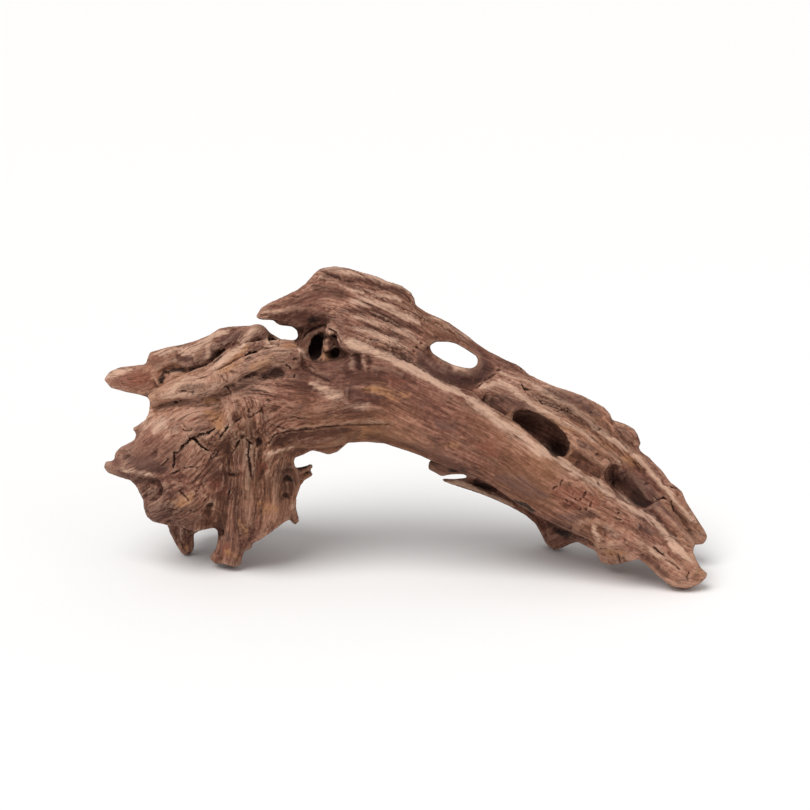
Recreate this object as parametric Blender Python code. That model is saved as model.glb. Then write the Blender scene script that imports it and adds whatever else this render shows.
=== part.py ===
"""Honeycomb wood: one weathered piece of root wood, worn through in several places.

The piece is a single grown body. A thick root head stands on pegs at the left, a trunk arches from it
to a foot at the right, and a roof plate over the trunk is worn through by holes. Limbs are lofted one by
one, fused into one skin, worn through, worked over with furrows and ridges, and cut flat where they stand.
"""

import math

import bmesh
import bpy
import numpy as np
from mathutils import Vector, noise
from mathutils.bvhtree import BVHTree

MM = 0.001

# The view that the limbs are measured in. Across runs to the right, rise runs up the view plane, both in
# millimetres, and depth is the distance back from the front view plane, along +Y.
VIEW_TILT = math.radians(15)
VIEW_DISTANCE = 1500
AXIS_RISE = 108
VIEW_AHEAD = Vector((0, math.cos(VIEW_TILT), -math.sin(VIEW_TILT)))
VIEW_UP = Vector((0, math.sin(VIEW_TILT), math.cos(VIEW_TILT)))
EYE = VIEW_UP * AXIS_RISE - VIEW_AHEAD * VIEW_DISTANCE

# Limbs are lofted in rings this far apart, in millimetres, with this many sides.
RING_SPACING = 3.0
RING_SIDES = 32
LEAST_RADIUS = 0.6

# A limb runs along the line of sight where the sine of the angle between them is under the first, and its
# width lies level where the upward share of it is under the second.
ALONG_SIGHT = 0.6
LEVEL = 0.3

# Flutes run along each limb. Their height is a share of the limb's own thickness.
FLUTE_SHARE = 0.16
FLUTE_LENGTH = 55
FLUTES_ROUND = 2.1
FLUTE_STEP_BETWEEN_LIMBS = 7.3

# Fineness of the skin, in millimetres, and the number of triangles that the finished solid keeps.
FUSE_VOXEL = 1.7
SKIN_VOXEL = 1.5
SKIN_TRIANGLES = 9600
ROUNDS_BEFORE_STROKES = 3
ROUNDS_AFTER_STROKES = 1

# A stroke fades out at this many half widths, and grows weaker where the skin faces its side by less than
# this share. It reaches no skin that lies further than this behind what is seen first, in millimetres.
STROKE_FADE = 2.2
STROKE_FULL_FACING = 0.4
STROKE_REACH = 9

# Mean colour of the weathered surface, linear.
WOOD_COLOUR = (0.26, 0.15, 0.09, 1)
WOOD_ROUGHNESS = 0.8

# Each limb is a list of stations: across, rise, depth, half width, half depth and backward lean in degrees.
LIMBS = {
    "trunk": [
        (-120, 100, 2, 34, 34, 0),
        (-85, 108, -2, 32, 32, 0),
        (-60, 107, -4, 30, 29, 0),
        (-50, 108, -4, 30, 28, 0),
        (-36, 112.5, -5, 28.5, 26, 5),
        (-20, 114, -6, 29, 25, 8),
        (5, 104, -10, 25.5, 23, 10),
        (32, 91.5, -14, 23.5, 22, 10),
        (62, 75, -19, 21, 20, 10),
        (90, 56.5, -24, 19, 19, 10),
        (117, 41, -29, 18, 18, 10),
        (143, 27, -34, 16, 16, 10),
        (165, 13.5, -40, 13, 13, 5),
        (183, -1.3, -44, 13, 11, 0),
        (194, -5, -44, 10, 9, 0),
        (202, -5, -43, 3.5, 4, 0),
    ],
    "head_core": [
        (-118, 128, 10, 24, 22, 0),
        (-124, 105, 10, 39, 34, 0),
        (-128, 76, 10, 45, 40, 0),
        (-125, 52, 9, 46, 36, 0),
        (-121, 35, 8, 31, 24, 0),
    ],
    "crown_root": [
        (-79, 146, 16, 6, 10, 0),
        (-95, 150, 16, 9, 14, 0),
        (-108, 148.5, 16, 10, 16, 0),
        (-124, 146, 18, 11, 16, 0),
        (-140, 137.5, 20, 11.5, 16, 0),
        (-155, 132.5, 20, 14.5, 15, 0),
        (-167, 128.5, 20, 13.8, 12, 0),
        (-179, 124, 20, 9.5, 9, 0),
        (-192, 125, 20, 7.5, 6, 0),
        (-200, 125.2, 20, 4, 4, 0),
        (-203, 125.5, 20, 1.5, 2, 0),
    ],
    "second_root": [
        (-72, 139, -8, 9, 12, 0),
        (-92, 140, -12, 10.5, 16, 0),
        (-110, 136, -17, 10, 16, 0),
        (-126, 127, -18, 9, 16, 0),
        (-143, 120, -15, 9, 14, 0),
        (-158, 114.5, -9, 8, 12, 0),
        (-168, 109, -4, 3, 6, 0),
    ],
    "grey_dome": [
        (-112, 92, 4, 18, 20, 0),
        (-128, 93, -3, 25, 27, 0),
        (-146, 92.5, -7, 25, 28, 0),
        (-163, 80, -4, 18, 20, 0),
        (-179, 70.8, 0, 13.5, 13, 0),
        (-189, 68, 2, 8.5, 8, 0),
        (-199, 66, 3, 4.6, 4.5, 0),
        (-203, 66.5, 3, 2.5, 2.5, 0),
    ],
    "right_column": [
        (-84, 116, 0, 12, 12, 0),
        (-93, 98, -3, 23, 24, 0),
        (-99, 75, -9, 27, 27, 0),
        (-99, 53, -9, 26, 25, 0),
        (-103, 37, -7, 21, 20, 0),
        (-109, 25, -3, 15, 15, 0),
    ],
    "left_lobe": [
        (-142, 72, 2, 28, 26, 0),
        (-155, 54, 2, 24, 24, 0),
        (-161, 41, 4, 16, 18, 0),
        (-160, 33, 5, 11, 11, 0),
    ],
    "left_knob": [
        (-156, 52, 0, 13, 12, 0),
        (-167, 45, -2, 8, 9, 0),
        (-173.5, 40, -2, 3, 4, 0),
    ],
    "left_peg": [
        (-145, 42, 16, 15, 14, 0),
        (-147.5, 28, 22, 10, 10, 0),
        (-146.8, 18, 25, 6.8, 8, 0),
        (-145.5, 10, 25, 5.2, 7, 0),
        (-144.8, 6, 25, 4, 6, 0),
    ],
    "right_peg": [
        (-109, 34, -5, 18, 17, 0),
        (-113.5, 21, -4, 12.5, 13, 0),
        (-117.5, 11, -2, 11.5, 11, 0),
        (-120.5, 5.5, -1, 11, 10, 0),
        (-120, 2, -1, 9, 8, 0),
    ],
    "side_thorn": [
        (-158, 92, 2, 9, 9, 0),
        (-172, 92.5, 3, 4.5, 4, 0),
        (-183, 92, 3, 1.2, 1.2, 0),
    ],
    "upper_spike": [
        (-88, 50, 12, 10, 9, 0),
        (-76, 59, 14, 7, 5, 0),
        (-67, 65.5, 14, 4, 3.5, 0),
        (-60, 68.5, 14, 2, 2, 0),
    ],
    "lower_spike": [
        (-82, 50, 12, 10, 8, 0),
        (-71, 57, 13, 5, 4.5, 0),
        (-60.5, 61.5, 13, 2, 2, 0),
    ],
    "small_peg": [
        (-86, 46, 20, 11, 10, 0),
        (-77.5, 39, 22, 7.5, 7, 0),
        (-74.5, 33, 22, 5.2, 4.5, 0),
        (-73.5, 28, 22, 4.2, 3.4, 0),
    ],
    "roof": [
        (-100, 167.8, 6, 2, 2, 0),
        (-92, 169.3, 7, 5, 4, 15),
        (-80, 170.5, 10, 9, 7, 30),
        (-66, 172.5, 13, 11.5, 10, 35),
        (-54, 178, 15, 18.5, 12, 35),
        (-43, 175.5, 15, 23.5, 13, 35),
        (-25, 168, 14, 25.5, 14, 35),
        (-5, 158.5, 13, 24.5, 14, 35),
        (7, 146.5, 13, 17.5, 13, 35),
        (14, 145.5, 13.5, 19, 12.5, 35),
        (27, 141, 14, 19.8, 12, 35),
        (45, 129.2, 16, 17, 11, 35),
        (62, 119, 19, 15, 10, 30),
    ],
    "neck": [
        (-58, 112, 6, 16, 18, 0),
        (-58.5, 134, 13, 16, 11, 0),
        (-58, 154, 18, 15, 9, 0),
        (-48, 172, 18, 13, 9, 0),
    ],
    "back_plate": [
        (50, 130, 18, 12, 9, 20),
        (72, 120.5, 22, 12, 10, 20),
        (95, 108.5, 25, 13, 10, 20),
        (115, 98.5, 25, 15.5, 10, 20),
        (131, 85, 25, 16.5, 10, 20),
        (146, 71, 23, 15, 10, 20),
        (158, 58.5, 19, 12, 10, 20),
        (171, 45.5, 14, 11.5, 9, 15),
        (183, 35, 8, 10, 8, 10),
        (195, 22.5, 3, 6.5, 7, 0),
        (202, 19.5, 1, 3.5, 4, 0),
    ],
    "plate_bump": [
        (120, 100, 26, 9, 8, 0),
        (130, 97, 26, 8, 6, 0),
        (135, 100, 26, 4, 4, 0),
    ],
    "plate_corner": [
        (138, 84, 24, 10, 8, 0),
        (148.5, 86.5, 24, 7, 6, 0),
        (156, 83.5, 24, 4, 4, 0),
    ],
    "groove_floor": [
        (-46, 146, 10, 9, 8, 0),
        (-22, 141, 9, 11, 9, 0),
        (0, 134, 8, 12, 9, 0),
        (35, 120, 8, 12, 8, 0),
        (60, 107, 6, 14, 7, 0),
        (90, 88, 4, 16, 9, 0),
        (118, 70, 1, 15, 12, 0),
        (140, 54, -3, 13, 15, 0),
        (160, 37, -10, 11, 20, 0),
        (178, 20, -18, 9, 22, 0),
        (189, 12, -22, 6, 16, 0),
    ],
    "skirt": [
        (8, 116, 16, 8, 5, -20),
        (20, 106, 21, 19, 5, -22),
        (32, 97, 24, 23, 5.5, -22),
        (41, 93, 26, 25, 5.5, -22),
        (50, 87, 27.5, 29, 5.5, -22),
        (62, 82.5, 29, 33, 6, -22),
        (80, 75, 31, 34.5, 6, -22),
        (97, 63, 33, 36, 7, -20),
        (112, 54, 32, 33, 9, -18),
        (126, 47, 28, 27, 11, -15),
        (142, 39, 20, 21, 12, -10),
        (158, 34, 10, 14, 12, 0),
    ],
    "flap": [
        (23.5, 58, 32, 1.8, 2, 0),
        (38, 56.8, 34, 3, 3.5, 0),
        (52, 54, 37, 7.5, 4.5, 0),
        (70, 47.5, 41, 8, 5, 0),
        (82, 40.8, 43, 7.5, 5, 0),
        (92, 30, 43, 7.5, 6, 0),
        (97.5, 18.5, 42, 7.5, 7, 0),
        (98, 14, 42, 6, 6, 0),
    ],
    "stub": [
        (16, 68, 4, 3.5, 4, 0),
        (24, 66.5, 4, 6.5, 5, 0),
        (36, 66, 2, 5, 5, 0),
        (48, 62, -2, 5, 6, 0),
    ],
    "heel_lobe": [
        (128, 38, -26, 13, 14, 0),
        (137, 24, -20, 14, 14, 0),
        (141, 12.5, -12, 14, 12, 0),
        (142, 9.3, -8, 11, 8, 0),
    ],
    "heel_ledge": [
        (99, 20, 37, 9, 8, 0),
        (112, 25.5, 20, 10, 11, 0),
        (126, 23, -2, 12.5, 13, 0),
        (146, 18, -22, 13, 13, 0),
    ],
    "back_root": [
        (-60, 128, 16, 12, 12, 0),
        (-88, 128, 36, 13, 13, 0),
        (-116, 116, 50, 12, 12, 0),
        (-138, 104, 60, 10, 10, 0),
        (-154, 98, 68, 6.5, 6.5, 0),
        (-164, 96, 73, 3.5, 3.5, 0),
    ],
    "back_rib": [
        (-50, 104, 12, 14, 12, 0),
        (-76, 100, 36, 13, 13, 0),
        (-102, 86, 52, 12, 13, 0),
        (-126, 66, 56, 11, 12, 0),
        (-143, 46, 48, 10, 11, 0),
        (-148, 32, 36, 8, 9, 0),
    ],
    "back_knuckle": [
        (-62, 95, 18, 12, 12, 0),
        (-82, 72, 40, 11, 12, 0),
        (-98, 54, 50, 10, 11, 0),
        (-110, 42, 50, 7, 8, 0),
        (-116, 37, 46, 4, 5, 0),
    ],
}

# Holes worn right through, and hollows, as limbs of space with the same stations.
HOLES = {
    "window": [
        (29, 136, -34, 14, 27, 24),
        (30.5, 137.5, -14, 12, 24, 24),
        (32, 141.9, 4, 7.2, 17.5, 24),
        (32.6, 142.4, 16, 6.3, 16, 24),
        (32.6, 142.4, 60, 6.3, 16, 24),
    ],
    "dark_hole": [
        (90, 90, -20, 9.5, 22, 34),
        (90, 88.5, 0, 9.5, 22, 34),
        (90, 86, 17, 10, 22, 34),
    ],
    "far_pocket": [
        (149, 56, -40, 8.5, 20, 42),
        (150, 54, -12, 8.5, 19, 42),
        (152, 51, 6, 6, 14, 42),
    ],
    "left_eye": [
        (-58.5, 147, -20, 8, 5, 0),
        (-58.5, 147, 6, 8, 5, 0),
        (-58, 149, 18, 5, 3, 0),
    ],
    "right_eye": [
        (-47, 148, -20, 7.5, 4, 0),
        (-47, 148, 6, 7.5, 4, 0),
        (-48, 150, 18, 5, 3, 0),
    ],
    "left_hollow": [
        (-169, 51, -40, 8, 7, 0),
        (-167, 51, -14, 8, 7, 0),
        (-163, 51, -4, 4, 4, 0),
    ],
}

# Strokes worked into the skin: the side that they are seen from, half width, height (negative for a
# furrow) and points on that side. From the front the points are across and rise; from behind, x and z.
STROKES = [
    ("front", 6, 3.5, [(-42, 150), (-15, 139), (15, 125), (37, 114), (63, 99), (90, 80), (117, 62)]),
    ("front", 5, 3.0, [(117, 62), (143, 49), (157, 38), (170, 27), (183, 14), (193, 4)]),
    ("front", 5, 3.0, [(46, 116), (56, 123), (77, 115), (103, 100), (130, 85), (148, 70)]),
    ("front", 5, 2.5, [(64, 130), (90, 120), (117, 105), (130, 93), (157, 70), (170, 55), (190, 35)]),
    ("front", 5, -3.0, [(84, 113), (104, 105), (124, 94), (144, 79), (160, 62)]),
    ("front", 6, -5.0, [(104, 78), (122, 66), (140, 54), (160, 40), (178, 24)]),
    ("front", 5, -9.0, [(-88, 153), (-108, 148), (-122, 140), (-136, 130), (-160, 126)]),
    ("front", 4, 3.0, [(-96, 158), (-112, 150), (-122, 137), (-136, 126), (-152, 121), (-166, 116)]),
    ("front", 4, -4.0, [(-84, 130), (-104, 127), (-120, 117), (-140, 111), (-164, 105)]),
    ("front", 4, 2.0, [(-112, 124), (-118, 108), (-116, 90), (-110, 72), (-106, 50), (-104, 30)]),
    ("front", 5, -3.0, [(-124, 112), (-127, 98), (-124, 84), (-116, 66), (-114, 46)]),
    ("front", 4, -4.0, [(-153, 92), (-141, 86), (-131, 79)]),
    ("front", 4, -3.0, [(-139, 86), (-147, 78), (-154, 70), (-152, 60)]),
    ("front", 4, -3.0, [(-100, 96), (-96, 76), (-98, 56), (-96, 36)]),
    ("front", 6, -5.0, [(-77, 62), (-79, 44)]),
    ("front", 6, -3.0, [(-160, 62), (-140, 58), (-124, 60)]),
    ("front", 5, -3.0, [(-136, 46), (-131, 34), (-126, 24)]),
    ("front", 6, 2.5, [(-168, 38), (-150, 46), (-130, 44)]),
    ("front", 6, 2.0, [(-160, 100), (-148, 104), (-134, 100)]),
    ("front", 7, -2.5, [(-90, 92), (-60, 96), (-30, 92), (0, 86)]),
    ("front", 8, -2.5, [(-36, 127), (-20, 124), (0, 116), (24, 104)]),
    ("front", 6, -2.5, [(-60, 184), (-30, 178), (-4, 166), (8, 158)]),
    ("front", 5, -2.5, [(-36, 166), (-14, 155), (4, 144)]),
    ("front", 6, -2.0, [(30, 80), (60, 62), (90, 44), (120, 30)]),
    ("back", 6, -4.0, [(-60, 150), (-95, 140), (-130, 122), (-160, 112)]),
    ("back", 6, -4.0, [(-70, 110), (-100, 96), (-128, 76), (-146, 50)]),
    ("back", 5, 3.0, [(-40, 190), (-10, 178), (20, 160), (60, 138), (100, 118), (140, 92), (175, 55)]),
    ("back", 7, -4.0, [(-36, 168), (-10, 158), (20, 142), (56, 118), (96, 96), (132, 70), (160, 44)]),
    ("back", 6, 2.5, [(50, 96), (80, 80), (108, 56), (130, 36)]),
    ("back", 6, -3.0, [(60, 78), (88, 60), (104, 36)]),
    ("back", 7, -3.0, [(-60, 84), (-20, 92), (20, 84), (50, 70)]),
    ("back", 6, 2.5, [(-50, 100), (-10, 106), (30, 96)]),
]


def place(across, rise, depth):
    """The point at that depth on the sight line that crosses the view plane at across and rise, in mm."""
    above_axis = rise - AXIS_RISE
    behind = (depth - rise * VIEW_UP.y) / (VIEW_AHEAD.y + above_axis * VIEW_UP.y / VIEW_DISTANCE)
    spread = 1 + behind / VIEW_DISTANCE
    height = AXIS_RISE + above_axis * spread
    return Vector((across * spread, depth, height * VIEW_UP.z + behind * VIEW_AHEAD.z))


def curve_through(a, b, c, d, t):
    """The value at share t of the way from b to c, on a Catmull-Rom curve through all four."""
    return (2 * b + (c - a) * t + (2 * a - 5 * b + 4 * c - d) * t**2 + (3 * b - a - 3 * c + d) * t**3) / 2


def smooth_stations(stations):
    """Rows every few millimetres along a Catmull-Rom curve through the stations."""
    rows = [(*place(*station[:3]), *station[3:]) for station in stations]
    padded = [rows[0], *rows, rows[-1]]
    found = []
    for before, start, end, after in zip(padded, padded[1:], padded[2:], padded[3:]):
        steps = max(2, round((Vector(end[:3]) - Vector(start[:3])).length / RING_SPACING))
        for step in range(steps):
            t = step / steps
            found.append([curve_through(*values, t) for values in zip(before, start, end, after)])
    found.append(list(rows[-1]))
    return found


def first_frame(tangent):
    """Which way is wide, and which way is deep, at the start of a limb that sets out along the tangent."""
    wide = tangent.cross(VIEW_AHEAD)
    if wide.length < ALONG_SIGHT:
        wide = (VIEW_UP - tangent * VIEW_UP.dot(tangent)).normalized()
        deep = tangent.cross(wide)
        return wide, deep if deep.x > 0 else -deep
    wide.normalize()
    if wide.z < -LEVEL or (abs(wide.z) <= LEVEL and wide.x < 0):
        wide.negate()
    deep = tangent.cross(wide)
    return wide, deep if deep.dot(VIEW_AHEAD) > 0 else -deep


def ring_swell(angle, along, seed):
    """How far a limb swells or shrinks at that place round it: long flutes that wander as they run."""
    across = math.cos(angle) * FLUTES_ROUND + seed * FLUTE_STEP_BETWEEN_LIMBS
    around = math.sin(angle) * FLUTES_ROUND
    return 1 + FLUTE_SHARE * noise.noise(Vector((across, around, along / FLUTE_LENGTH)))


def add_rings(mesh, rows, seed, fluted):
    """Adds an oval ring of points for each row. Each ring turns as little as it can from the last."""
    spots = [Vector(row[:3]) for row in rows]
    wide = deep = None
    rings, along = [], 0.0
    for index, (half_width, half_depth, lean) in enumerate(row[3:] for row in rows):
        ahead, back = spots[min(index + 1, len(spots) - 1)], spots[max(index - 1, 0)]
        tangent = (ahead - back).normalized()
        if wide is None:
            wide, deep = first_frame(tangent)
        wide = (wide - tangent * wide.dot(tangent)).normalized()
        deep = (deep - tangent * deep.dot(tangent) - wide * deep.dot(wide)).normalized()
        turn = math.radians(lean)
        tall = (wide + deep * math.tan(turn)) * max(half_width, LEAST_RADIUS)
        thick = (deep * math.cos(turn) - wide * math.sin(turn)) * max(half_depth, LEAST_RADIUS)
        along += (spots[index] - back).length
        ring = []
        for side in range(RING_SIDES):
            angle = math.tau * side / RING_SIDES
            grow = ring_swell(angle, along, seed) if fluted else 1.0
            reach = (tall * math.cos(angle) + thick * math.sin(angle)) * grow
            ring.append(mesh.verts.new((spots[index] + reach) * MM))
        rings.append(ring)
    return rings


def add_limb(mesh, stations, seed, fluted=True):
    """Lofts one closed limb into the mesh: rings bridged to each other, and a blunt point at each end."""
    rows = smooth_stations(stations)
    rings = add_rings(mesh, rows, seed, fluted)
    for ring, following in zip(rings, rings[1:]):
        for side in range(RING_SIDES):
            beside = (side + 1) % RING_SIDES
            mesh.faces.new((ring[side], ring[beside], following[beside], following[side]))
    for ring, end, inner in ((rings[0], rows[0], rows[1]), (rings[-1], rows[-1], rows[-2])):
        outward = (Vector(end[:3]) - Vector(inner[:3])).normalized()
        tip = mesh.verts.new((Vector(end[:3]) + outward * min(end[3], end[4]) / 2) * MM)
        for side in range(RING_SIDES):
            mesh.faces.new((ring[side], ring[(side + 1) % RING_SIDES], tip))


def mesh_object(name, mesh):
    """Turns the bmesh into an object with its faces pointing outwards."""
    bmesh.ops.recalc_face_normals(mesh, faces=mesh.faces)
    data = bpy.data.meshes.new(name)
    mesh.to_mesh(data)
    mesh.free()
    made = bpy.data.objects.new(name, data)
    bpy.context.scene.collection.objects.link(made)
    return made


def apply_modifiers(made):
    bpy.context.view_layer.objects.active = made
    for modifier in list(made.modifiers):
        bpy.ops.object.modifier_apply(modifier=modifier.name)


def fuse(made, voxel):
    """Replaces overlapping skins by the one skin around them."""
    skin = made.modifiers.new("fuse", "REMESH")
    skin.mode = "VOXEL"
    skin.voxel_size = voxel * MM
    apply_modifiers(made)


def soften(made, rounds):
    blur = made.modifiers.new("soften", "SMOOTH")
    blur.factor = 0.5
    blur.iterations = rounds
    apply_modifiers(made)


def thin_out(made):
    """Drops triangles where the skin is even, down to the number that the solid keeps."""
    thin = made.modifiers.new("thin", "DECIMATE")
    thin.ratio = min(1.0, SKIN_TRIANGLES / (2 * len(made.data.polygons)))
    apply_modifiers(made)


def cut(made, space):
    hole = made.modifiers.new("cut", "BOOLEAN")
    hole.operation = "DIFFERENCE"
    hole.solver = "EXACT"
    hole.object = space
    apply_modifiers(made)
    bpy.data.objects.remove(space)


def keep_largest_shell(made):
    """Drops loose crumbs and the skins of sealed pockets, and keeps the one outer skin."""
    mesh = bmesh.new()
    mesh.from_mesh(made.data)
    waiting, shells = set(mesh.verts), []
    while waiting:
        front = [waiting.pop()]
        shell = list(front)
        while front:
            beside = {edge.other_vert(vertex) for vertex in front for edge in vertex.link_edges} & waiting
            waiting -= beside
            front = list(beside)
            shell += front
        shells.append(shell)
    shells.sort(key=len)
    spare = [vertex for shell in shells[:-1] for vertex in shell]
    bmesh.ops.delete(mesh, geom=spare, context="VERTS")
    mesh.to_mesh(made.data)
    mesh.free()


def seen_from(side, points):
    """Flat positions of the points as seen from that side, and the lines of sight that end at them, in mm."""
    if side == "front":
        lines = points - np.array(EYE)
        scale = VIEW_DISTANCE / (lines @ np.array(VIEW_AHEAD))
        flat = np.stack((lines[:, 0] * scale, AXIS_RISE + lines @ np.array(VIEW_UP) * scale), axis=1)
        return flat, lines
    lines = np.zeros_like(points)
    lines[:, 1] = -VIEW_DISTANCE
    return points[:, (0, 2)], lines


def distance_to_path(flat, path):
    """Distance of each flat position from a polyline."""
    nearest = np.full(len(flat), np.inf)
    for start, end in zip(path, path[1:]):
        start, span = np.array(start, float), np.subtract(end, start).astype(float)
        share = np.clip((flat - start) @ span / (span @ span), 0, 1)
        nearest = np.minimum(nearest, np.linalg.norm(flat - start - share[:, None] * span, axis=1))
    return nearest


def is_covered(tree, point, line):
    """Whether something lies well in front of the point on its line of sight."""
    distance = tree.ray_cast(point - line, line.normalized())[3]
    return distance is not None and distance < line.length - STROKE_REACH


def work_strokes(made):
    """Raises ridges and presses furrows into the parts of the skin that each stroke can reach."""
    points, normals = np.zeros((2, len(made.data.vertices), 3))
    made.data.vertices.foreach_get("co", points.ravel())
    made.data.vertices.foreach_get("normal", normals.ravel())
    points /= MM
    tree = BVHTree.FromPolygons([Vector(p) for p in points], [tuple(f.vertices) for f in made.data.polygons])
    for side, width, height, path in STROKES:
        flat, lines = seen_from(side, points)
        away = distance_to_path(flat, path) / width
        facing = -(normals * lines).sum(1) / np.linalg.norm(lines, axis=1)
        for index in np.flatnonzero((away < STROKE_FADE) & (facing > 0)):
            if not is_covered(tree, Vector(points[index]), Vector(lines[index])):
                strength = math.exp(-away[index] ** 2) * min(1, facing[index] / STROKE_FULL_FACING)
                points[index] += normals[index] * height * strength
    made.data.vertices.foreach_set("co", (points * MM).ravel())
    made.data.update()


def wear_flat(made):
    """Cuts the feet off level with the ground and closes the cuts with flat faces."""
    mesh = bmesh.new()
    mesh.from_mesh(made.data)
    every_part = [*mesh.verts, *mesh.edges, *mesh.faces]
    found = bmesh.ops.bisect_plane(mesh, geom=every_part, plane_no=(0, 0, 1), clear_inner=True)
    rims = [part for part in found["geom_cut"] if isinstance(part, bmesh.types.BMEdge)]
    flats = bmesh.ops.edgenet_fill(mesh, edges=rims)["faces"]
    bmesh.ops.triangulate(mesh, faces=flats)
    bmesh.ops.recalc_face_normals(mesh, faces=mesh.faces)
    mesh.to_mesh(made.data)
    mesh.free()


def stand_in_middle(made):
    """Moves the skin so that the middle of its bounding box stands over the origin."""
    middle = (Vector(made.bound_box[0]) + Vector(made.bound_box[6])) / 2
    for vertex in made.data.vertices:
        vertex.co.xy -= middle.xy


def wood_material():
    wood = bpy.data.materials.new("weathered wood")
    wood.use_nodes = True
    surface = wood.node_tree.nodes["Principled BSDF"]
    surface.inputs["Base Color"].default_value = WOOD_COLOUR
    surface.inputs["Roughness"].default_value = WOOD_ROUGHNESS
    return wood


def build():
    for left_over in list(bpy.data.objects):
        bpy.data.objects.remove(left_over)
    limbs = bmesh.new()
    for seed, stations in enumerate(LIMBS.values()):
        add_limb(limbs, stations, seed)
    wood = mesh_object("driftwood", limbs)
    fuse(wood, FUSE_VOXEL)
    for name, stations in HOLES.items():
        space = bmesh.new()
        add_limb(space, stations, 0, fluted=False)
        cut(wood, mesh_object(name, space))
    fuse(wood, SKIN_VOXEL)
    keep_largest_shell(wood)
    soften(wood, ROUNDS_BEFORE_STROKES)
    work_strokes(wood)
    soften(wood, ROUNDS_AFTER_STROKES)
    thin_out(wood)
    wear_flat(wood)
    stand_in_middle(wood)
    wood.data.materials.append(wood_material())


build()
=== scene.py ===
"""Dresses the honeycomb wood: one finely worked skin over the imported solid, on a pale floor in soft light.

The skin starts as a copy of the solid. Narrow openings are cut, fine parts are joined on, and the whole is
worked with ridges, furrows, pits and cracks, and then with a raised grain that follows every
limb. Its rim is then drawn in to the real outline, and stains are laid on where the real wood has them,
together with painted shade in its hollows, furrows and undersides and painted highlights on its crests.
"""

import math

import bpy
import numpy as np
from mathutils import Matrix, Vector
from mathutils.bvhtree import BVHTree


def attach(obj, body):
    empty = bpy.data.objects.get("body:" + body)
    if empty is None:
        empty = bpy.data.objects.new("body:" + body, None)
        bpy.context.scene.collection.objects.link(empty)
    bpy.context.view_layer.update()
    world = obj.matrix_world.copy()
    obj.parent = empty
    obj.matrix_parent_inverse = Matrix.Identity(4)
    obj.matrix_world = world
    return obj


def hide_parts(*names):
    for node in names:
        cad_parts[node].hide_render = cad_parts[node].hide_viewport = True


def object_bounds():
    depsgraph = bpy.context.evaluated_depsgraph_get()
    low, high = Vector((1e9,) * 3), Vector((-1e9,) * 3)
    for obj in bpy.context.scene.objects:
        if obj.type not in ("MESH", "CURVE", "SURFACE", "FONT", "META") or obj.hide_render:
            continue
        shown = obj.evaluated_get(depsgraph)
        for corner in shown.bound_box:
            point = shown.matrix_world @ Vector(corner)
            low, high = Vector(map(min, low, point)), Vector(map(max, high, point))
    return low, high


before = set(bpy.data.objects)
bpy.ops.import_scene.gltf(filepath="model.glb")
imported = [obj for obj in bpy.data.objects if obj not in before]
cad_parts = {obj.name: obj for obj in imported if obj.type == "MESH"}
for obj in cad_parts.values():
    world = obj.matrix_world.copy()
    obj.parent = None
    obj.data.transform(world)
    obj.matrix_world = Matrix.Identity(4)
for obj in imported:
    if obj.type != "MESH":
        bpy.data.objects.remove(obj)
CAD_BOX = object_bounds()

MM = 0.001
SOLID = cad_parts["driftwood"]

# The view. Places on the wood are given as they are seen in it: across to the right and rise up the view
# plane, both in millimetres, and depth back along +Y. The drawing's zero lies here in the frame.
VIEW_TILT = math.radians(15)
VIEW_DISTANCE = 1500
AXIS_RISE = 108
AHEAD = np.array((0, math.cos(VIEW_TILT), -math.sin(VIEW_TILT)))
UP = np.array((0, math.sin(VIEW_TILT), math.cos(VIEW_TILT)))
ACROSS = np.array((1.0, 0, 0))
ZERO = np.array((-0.8, -10.3, 0))
EYE = ZERO + UP * AXIS_RISE - AHEAD * VIEW_DISTANCE

# Points of the solid nearer to each other than this are joined, in millimetres.
JOINED_WITHIN = 0.01
# Fineness of the skin while it is worked, in millimetres, and how often and how much it is smoothed.
SKIN_VOXEL = 0.85
SKIN_ROUNDS = 7
SKIN_BLUR = 0.5
# The triangles that the skin keeps. What faces away from the view by more than this share is the far side,
# and it is thinned out more than the near side, by these two weights.
KEPT_TRIANGLES = 194000
FAR_SIDE_FROM = 0.1
NEAR_SIDE_WEIGHT = 0.5
THINNING_PREFERENCE = 1e-5

# Fine parts joined to the solid, and banks that make its hollows shallower: root and tip as across, rise
# and depth, and the radius at each.
ADDED_PARTS = {
    "thorn": ((-168, 91.5, 2), (-181.5, 92, 0), 4.0, 1.4),
    "tooth": ((-92, 168, 8), (-92.3, 163.5, 8), 1.8, 1.1),
    "upper_twig": ((-78, 61, 8), (-62, 67.5, 6), 3.4, 1.5),
    "lower_twig": ((-76, 57, 8), (-62.5, 62, 8), 3.4, 1.5),
    "spur": ((-76, 44, 14), (-72.8, 29.5, 16), 4.0, 1.8),
    "flap_tip": ((50, 53, 34), (26, 57.6, 32), 2.6, 1.4),
    "peg_spike": ((-153, 32, 16), (-154.5, 18.5, 18), 3.6, 1.5),
    "notch_bank": ((-163, 124, 13), (-127, 139, 3), 7.5, 8.0),
    "left_hollow_floor": ((-165, 60, -1), (-161, 42, -5), 14.0, 13.0),
    "right_pit_floor": ((-48, 152, 7), (-47, 144, 4), 7.0, 7.0),
}
# Openings cut along the line of sight: middle as across, rise and depth, then length, height and depth, and
# how far the length turns in the view, in degrees.
OPENINGS = {
    "flap_slit": ((32, 60.3, 30), (19, 2.6, 90), -3),
    "beak_gap": ((-95, 162.2, 10), (17, 3.2, 60), -22),
    "arch_corner": ((-67.5, 71.2, 20), (11, 6.5, 110), 12),
}

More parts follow.
